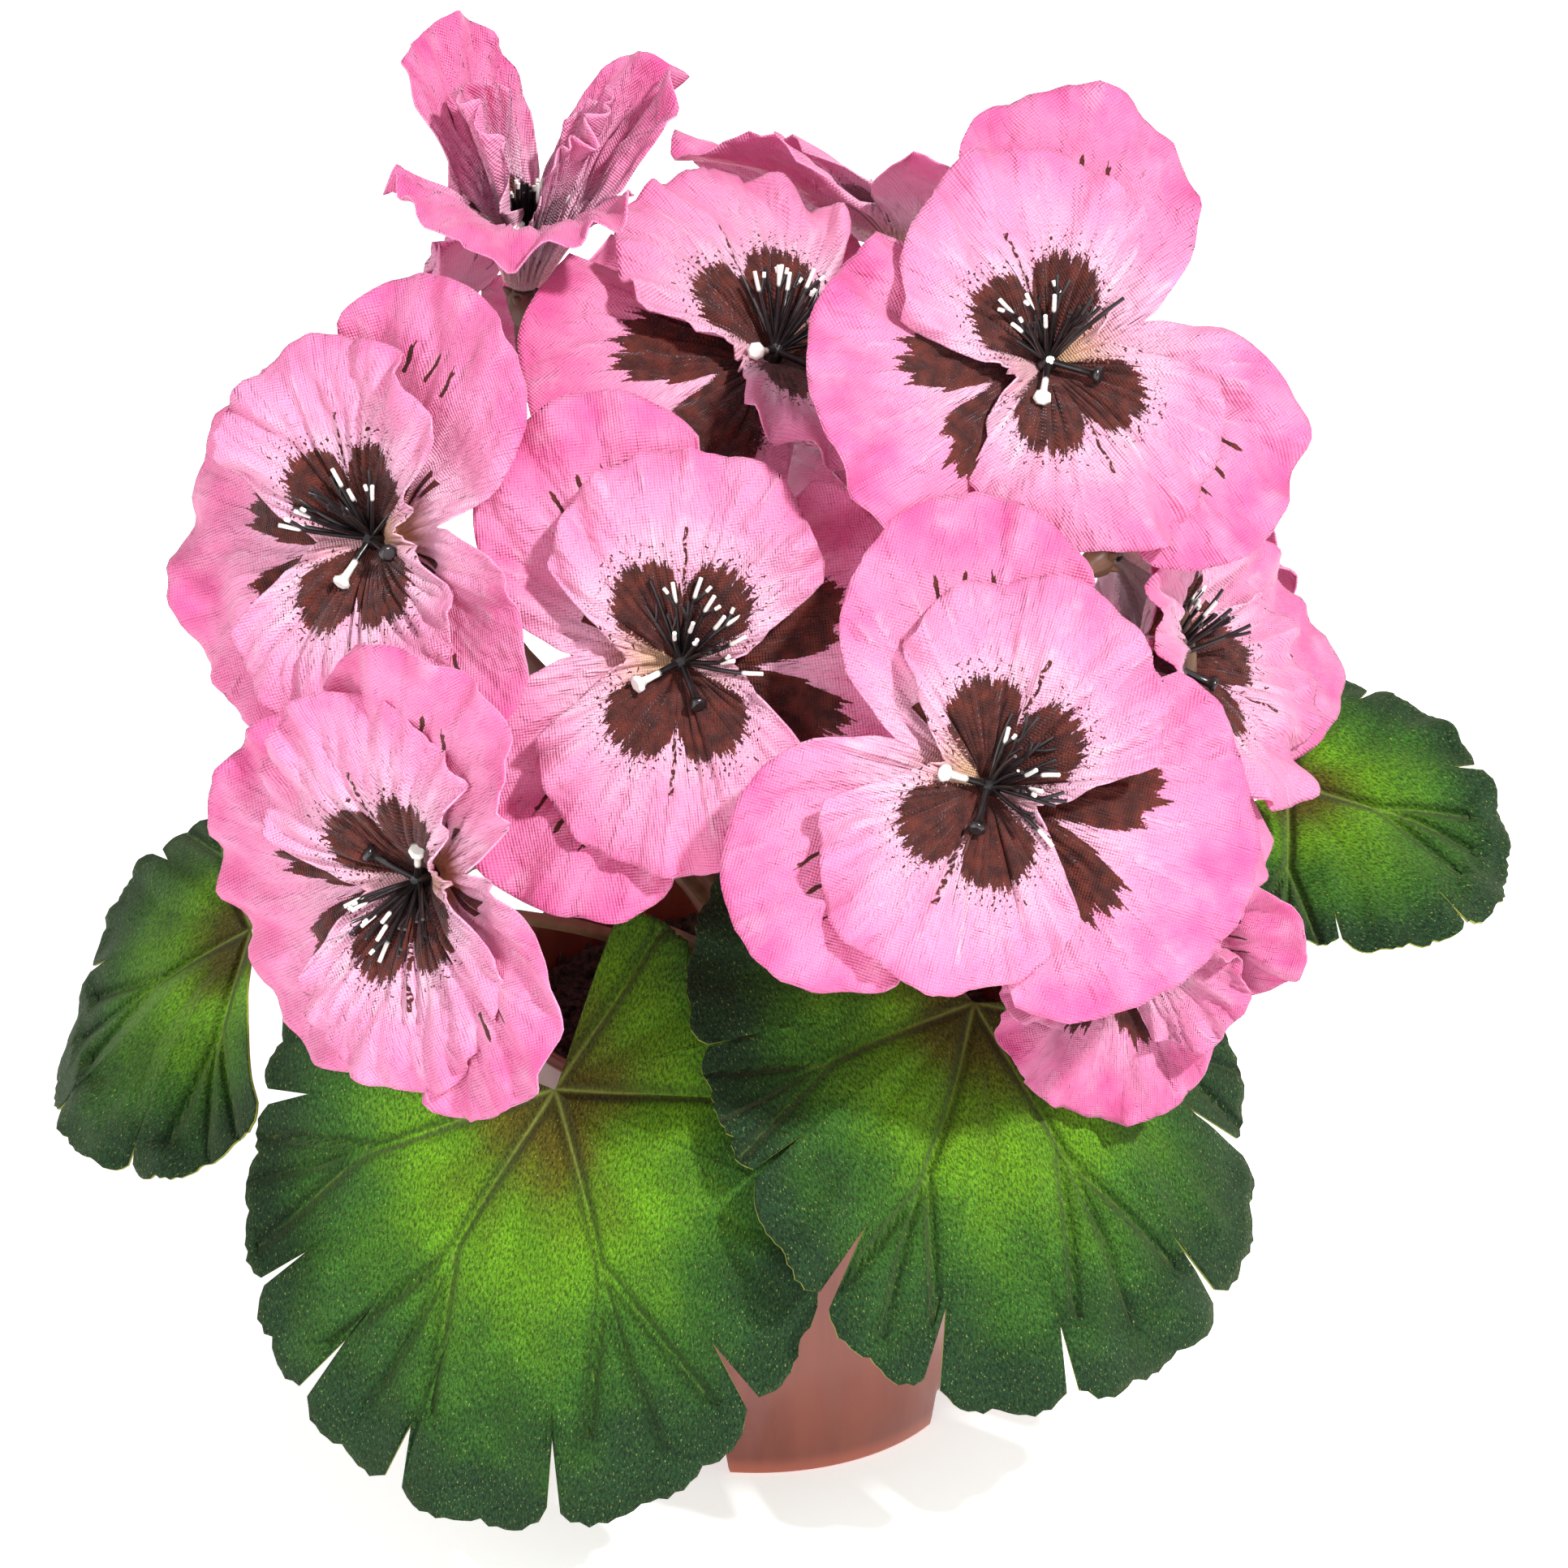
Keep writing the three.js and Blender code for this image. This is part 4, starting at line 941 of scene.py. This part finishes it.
def stalk_line(leaf):
    """The stalk: upright in the soil beside the trunk, then bent over and in under the blade."""
    axes, at = leaf_axes(leaf), np.array(leaf["at"], float)
    x, y = STEM_PLACE
    heading = math.atan2(at[1] - y, at[0] - x)
    foot = np.array([x + STALK_RING * math.cos(heading), y + STALK_RING * math.sin(heading), STALK_FOOT])
    end = at + axes[:, 1] * STALK_ALONG - axes[:, 2] * STALK_BELOW
    bend_from = np.array([foot[0], foot[1], STALK_BEND_FROM])
    first = np.array([foot[0], foot[1], max(end[2], 84)])
    lead = at - axes[:, 1] * STALK_LEAD
    return np.concatenate([[foot], bezier(bend_from, first, lead, end, 24)])


def leaf_blade(index, leaf):
    """Both faces of the cloth and its cut edges, quilted between the veins."""
    columns = leaf_columns(index, leaf)[::-1]
    rings = LEAF_RINGS
    angles = np.array([c[0] for c in columns])[:, None]
    s = np.linspace(0, 1, rings + 1)[None, 1:] * np.array([c[1] for c in columns])[:, None]
    turn = np.radians(angles)
    x, y = s * np.sin(turn), s * np.cos(turn)
    grid = leaf_surface(index, leaf, angles + 0 * s, s)
    veins = vein_distance(index, leaf, x, y)
    outward = s / (LEAF_REACH * leaf["size"] * leaf_round(angles))
    puffed = 1.4 * (1 - np.exp(-(veins / 5.5) ** 2)) + 0.8 * (1 - np.exp(-(veins / 1.3) ** 2))
    quilt = puffed * smoothstep(2, 14, s) * (1 - 0.6 * smoothstep(0.8, 1, outward))
    margin = 1.6 * outward ** 5 * ripple(angles / 360 * 5, index + 40, 5)
    crumple = ripple(x / 60, index + 50, 3) * ripple(y / 60, index + 51, 3) * smoothstep(4, 20, s)
    normals = grid_normals(grid, closed=False)
    grid = grid + normals * (quilt + margin + crumple - 0.3)[..., None]
    points = []
    for side in (0.5, -0.5):
        points.append(np.array([[0, 0, side * LEAF_THICKNESS]]))
        points.append((grid + normals * side * LEAF_THICKNESS).reshape(-1, 3))
    points = np.concatenate(points) @ leaf_axes(leaf).T + leaf["at"]
    count = len(columns)
    under = 1 + count * rings
    faces, sides = [], []
    for c in range(count - 1):
        a, b = 1 + c * rings, 1 + (c + 1) * rings
        faces += [(0, a, b), (under, under + b, under + a)]
        sides += [0, 1]
        for r in range(rings - 1):
            faces.append((a + r, a + r + 1, b + r + 1, b + r))
            faces.append((under + a + r, under + b + r, under + b + r + 1, under + a + r + 1))
            sides += [0, 1]
        last = rings - 1
        faces.append((a + last, under + a + last, under + b + last, b + last))
        sides.append(2)
    for column, flip in ((0, False), (count - 1, True)):
        path = [0] + [1 + column * rings + r for r in range(rings)]
        for p, q in zip(path, path[1:]):
            face = (p, under + p, under + q, q)
            faces.append(face[::-1] if flip else face)
            sides.append(2)
    piece = mesh_piece(f"blade_{leaf['name']}", points, faces)
    mesh = piece.data
    flat = np.concatenate([np.zeros((1, 2)), np.stack([x, y], -1).reshape(-1, 2)] * 2) / LEAF_UNIT
    vertex = np.empty(len(mesh.loops), np.int64)
    mesh.loops.foreach_get("vertex_index", vertex)
    mesh.uv_layers.new(name="cloth").data.foreach_set("uv", flat[vertex].astype(np.float32).ravel())
    both = [np.concatenate([[0], values.ravel()] * 2) for values in (outward, np.minimum(veins, 12))]
    mark(mesh, "POINT", outward=both[0], vein=both[1])
    mark(mesh, "FACE", side=sides)
    return piece


def leaf_finish():
    """Short-napped cloth: painted olive-brown shadow at the stalk, then bright green, and dark green at the
    margin.
    """
    f = Finish("green_leaf_cloth", Roughness=0.62, Specular_IOR_Level=0.16, Sheen_Weight=0.12,
               Sheen_Roughness=0.35, Sheen_Tint=(0.85, 1, 0.5, 1))
    cloth, outward, vein, side = f.uv("cloth"), f.value("outward"), f.value("vein"), f.value("side")
    reach = f.plus(outward, f.times(f.minus(f.noise(cloth, 4.5, 3), 0.5), 0.5))
    # Painted shadow: the olive brown at the stalk stands in for the shade that the blooms cast on the leaf's
    # middle.
    tone = f.mix(f.ramp(reach, 0.1, 0.4), linear("#504a0a"), linear("#568511"))
    tone = f.mix(f.ramp(reach, 0.35, 0.7), tone, linear("#315c18"))
    tone = f.mix(f.ramp(reach, 0.6, 0.95), tone, linear("#1b361c"))
    stretched = f.turned(cloth, Rotation=(0, 0, 0.5), Scale=(1, 0.45, 1))
    nap = f.noise(stretched, 170, 3, 0.8)
    # Painted light: the nap's speckle brightens and darkens the colour, and the pale yellow-green flecks
    # along it are painted glints.
    tone = f.shade(tone, f.ramp(nap, 0.34, 0.66, 0.3, 1.55))
    tone = f.mix(f.ramp(f.noise(stretched, 230, 2), 0.62, 0.74, 0, 0.6), tone, linear("#a7b45a"))
    tone = f.mix(f.ramp(f.noise(cloth, 7, 3), 0.45, 0.7, 0, 0.55), tone, f.shade(tone, 1.5))
    # Painted shade: the colour darkens on both flanks of each vein's groove.
    flank = f.times(f.ramp(vein, 0.5, 1.1), f.ramp(vein, 1.2, 2.6, 1.0, 0.0))
    tone = f.shade(tone, f.ramp(flank, 0, 1, 1.0, 0.72))
    tone = f.mix(f.times(f.ramp(vein, 0.1, 0.6, 1.0, 0.0), 0.5), tone, linear("#8a9c4a"))
    tone = f.mix(f.times(f.over(side, 0.5), 0.45), tone, linear("#6f9a4c"))
    tone = f.mix(f.times(f.over(side, 1.5), 0.7), tone, linear("#a8a53a"))
    groove = f.ramp(vein, 0.0, 1.5)
    f.wear(Base_Color=tone, Normal=f.bump(groove, 0.0016, 0.9, f.bump(nap, 0.0006, 0.8)))
    f.let_light_through(0.1, tone)
    return f.material


leaf_cloth = leaf_finish()
stalk_green = Finish("green_stalk_plastic", Roughness=0.45)
mottle = stalk_green.noise(stalk_green.place(), 220, 2)
speckled = stalk_green.ramp(mottle, 0.3, 0.7)
green = stalk_green.mix(speckled, linear("#2f5216"), linear("#547f27"))
woody = stalk_green.mix(speckled, linear("#6b4c36"), linear("#957054"))
spot = stalk_green.split(stalk_green.place())
trunk = tuple((MIDDLE + [*STEM_PLACE, 0]) / 1000)
from_trunk = stalk_green.node("ShaderNodeVectorMath", {0: stalk_green.vector(spot[0], spot[1]), 1: trunk},
                              operation="DISTANCE").outputs["Value"]
stalk_green.wear(Base_Color=stalk_green.mix(stalk_green.ramp(from_trunk, 0.038, 0.056), woody, green),
                 Normal=stalk_green.bump(mottle, 0.0004, 0.4))
for index, leaf in enumerate(LEAVES):
    blade = leaf_blade(index, leaf)
    blade.data.materials.append(leaf_cloth)
    line = stalk_line(leaf)
    thickness = np.full(len(line), STALK_RADIUS)
    thickness[:2] = STALK_RADIUS * 1.12
    thickness[2:5] = STALK_RADIUS * np.array([1.5, 1.3, 1.1])
    thickness[-4:] *= np.array([0.95, 0.85, 0.7, 0.4])
    name = f"leaf_with_stalk_{leaf['name']}"
    stalk = rods(name, [dict(points=line, thickness=thickness)], rods_tree, 18, 5, 0.08, stalk_green.material)
    whole = join(name, [blade.data, stalk])
    bpy.data.objects.remove(blade)
    finish(whole, "leaf_cloth", f"leaf_{leaf['name']}")


# A plain white floor and soft studio light: a broad key from the upper right, a weak fill from the left and
# a white surround. The floor paper glows a little, so that its shadows stay pale.
FLOOR_HALF, FLOOR_DROP = 3000, -0.2
corners = [(x * FLOOR_HALF, y * FLOOR_HALF, FLOOR_DROP) for x, y in ((-1, -1), (1, -1), (1, 1), (-1, 1))]
floor = mesh_piece("floor", corners, [(0, 1, 2, 3)])
ground = Finish("floor_paper", Base_Color=(0.9, 0.9, 0.9, 1), Roughness=0.9, Emission_Color=(1, 1, 1, 1),
                Emission_Strength=0.6)
floor.data.materials.append(ground.material)

world = bpy.data.worlds.new("studio")
world.use_nodes = True
surround = world.node_tree.nodes["Background"].inputs
surround["Color"].default_value = (1, 1, 1, 1)
surround["Strength"].default_value = 0.62
bpy.context.scene.world = world


def lamp(name, kind, place, power, **settings):
    """A lamp that shines at the middle of the plant."""
    made = placed(name, bpy.data.lights.new(name, kind))
    made.data.energy = power
    for key, value in settings.items():
        setattr(made.data, key, value)
    made.location = [v / 1000 for v in place]
    way = np.array([0.0, 0.0, 110.0]) - np.array(place)
    way /= np.linalg.norm(way)
    made.rotation_euler = (math.acos(-way[2]), 0, math.atan2(way[1], way[0]) - math.pi / 2)


lamp("key", "SUN", (480, -560, 900), 4.0, angle=math.radians(4))
lamp("fill", "AREA", (-700, -900, 500), 5.0, size=0.8)
bpy.context.scene.view_settings.view_transform = "Standard"
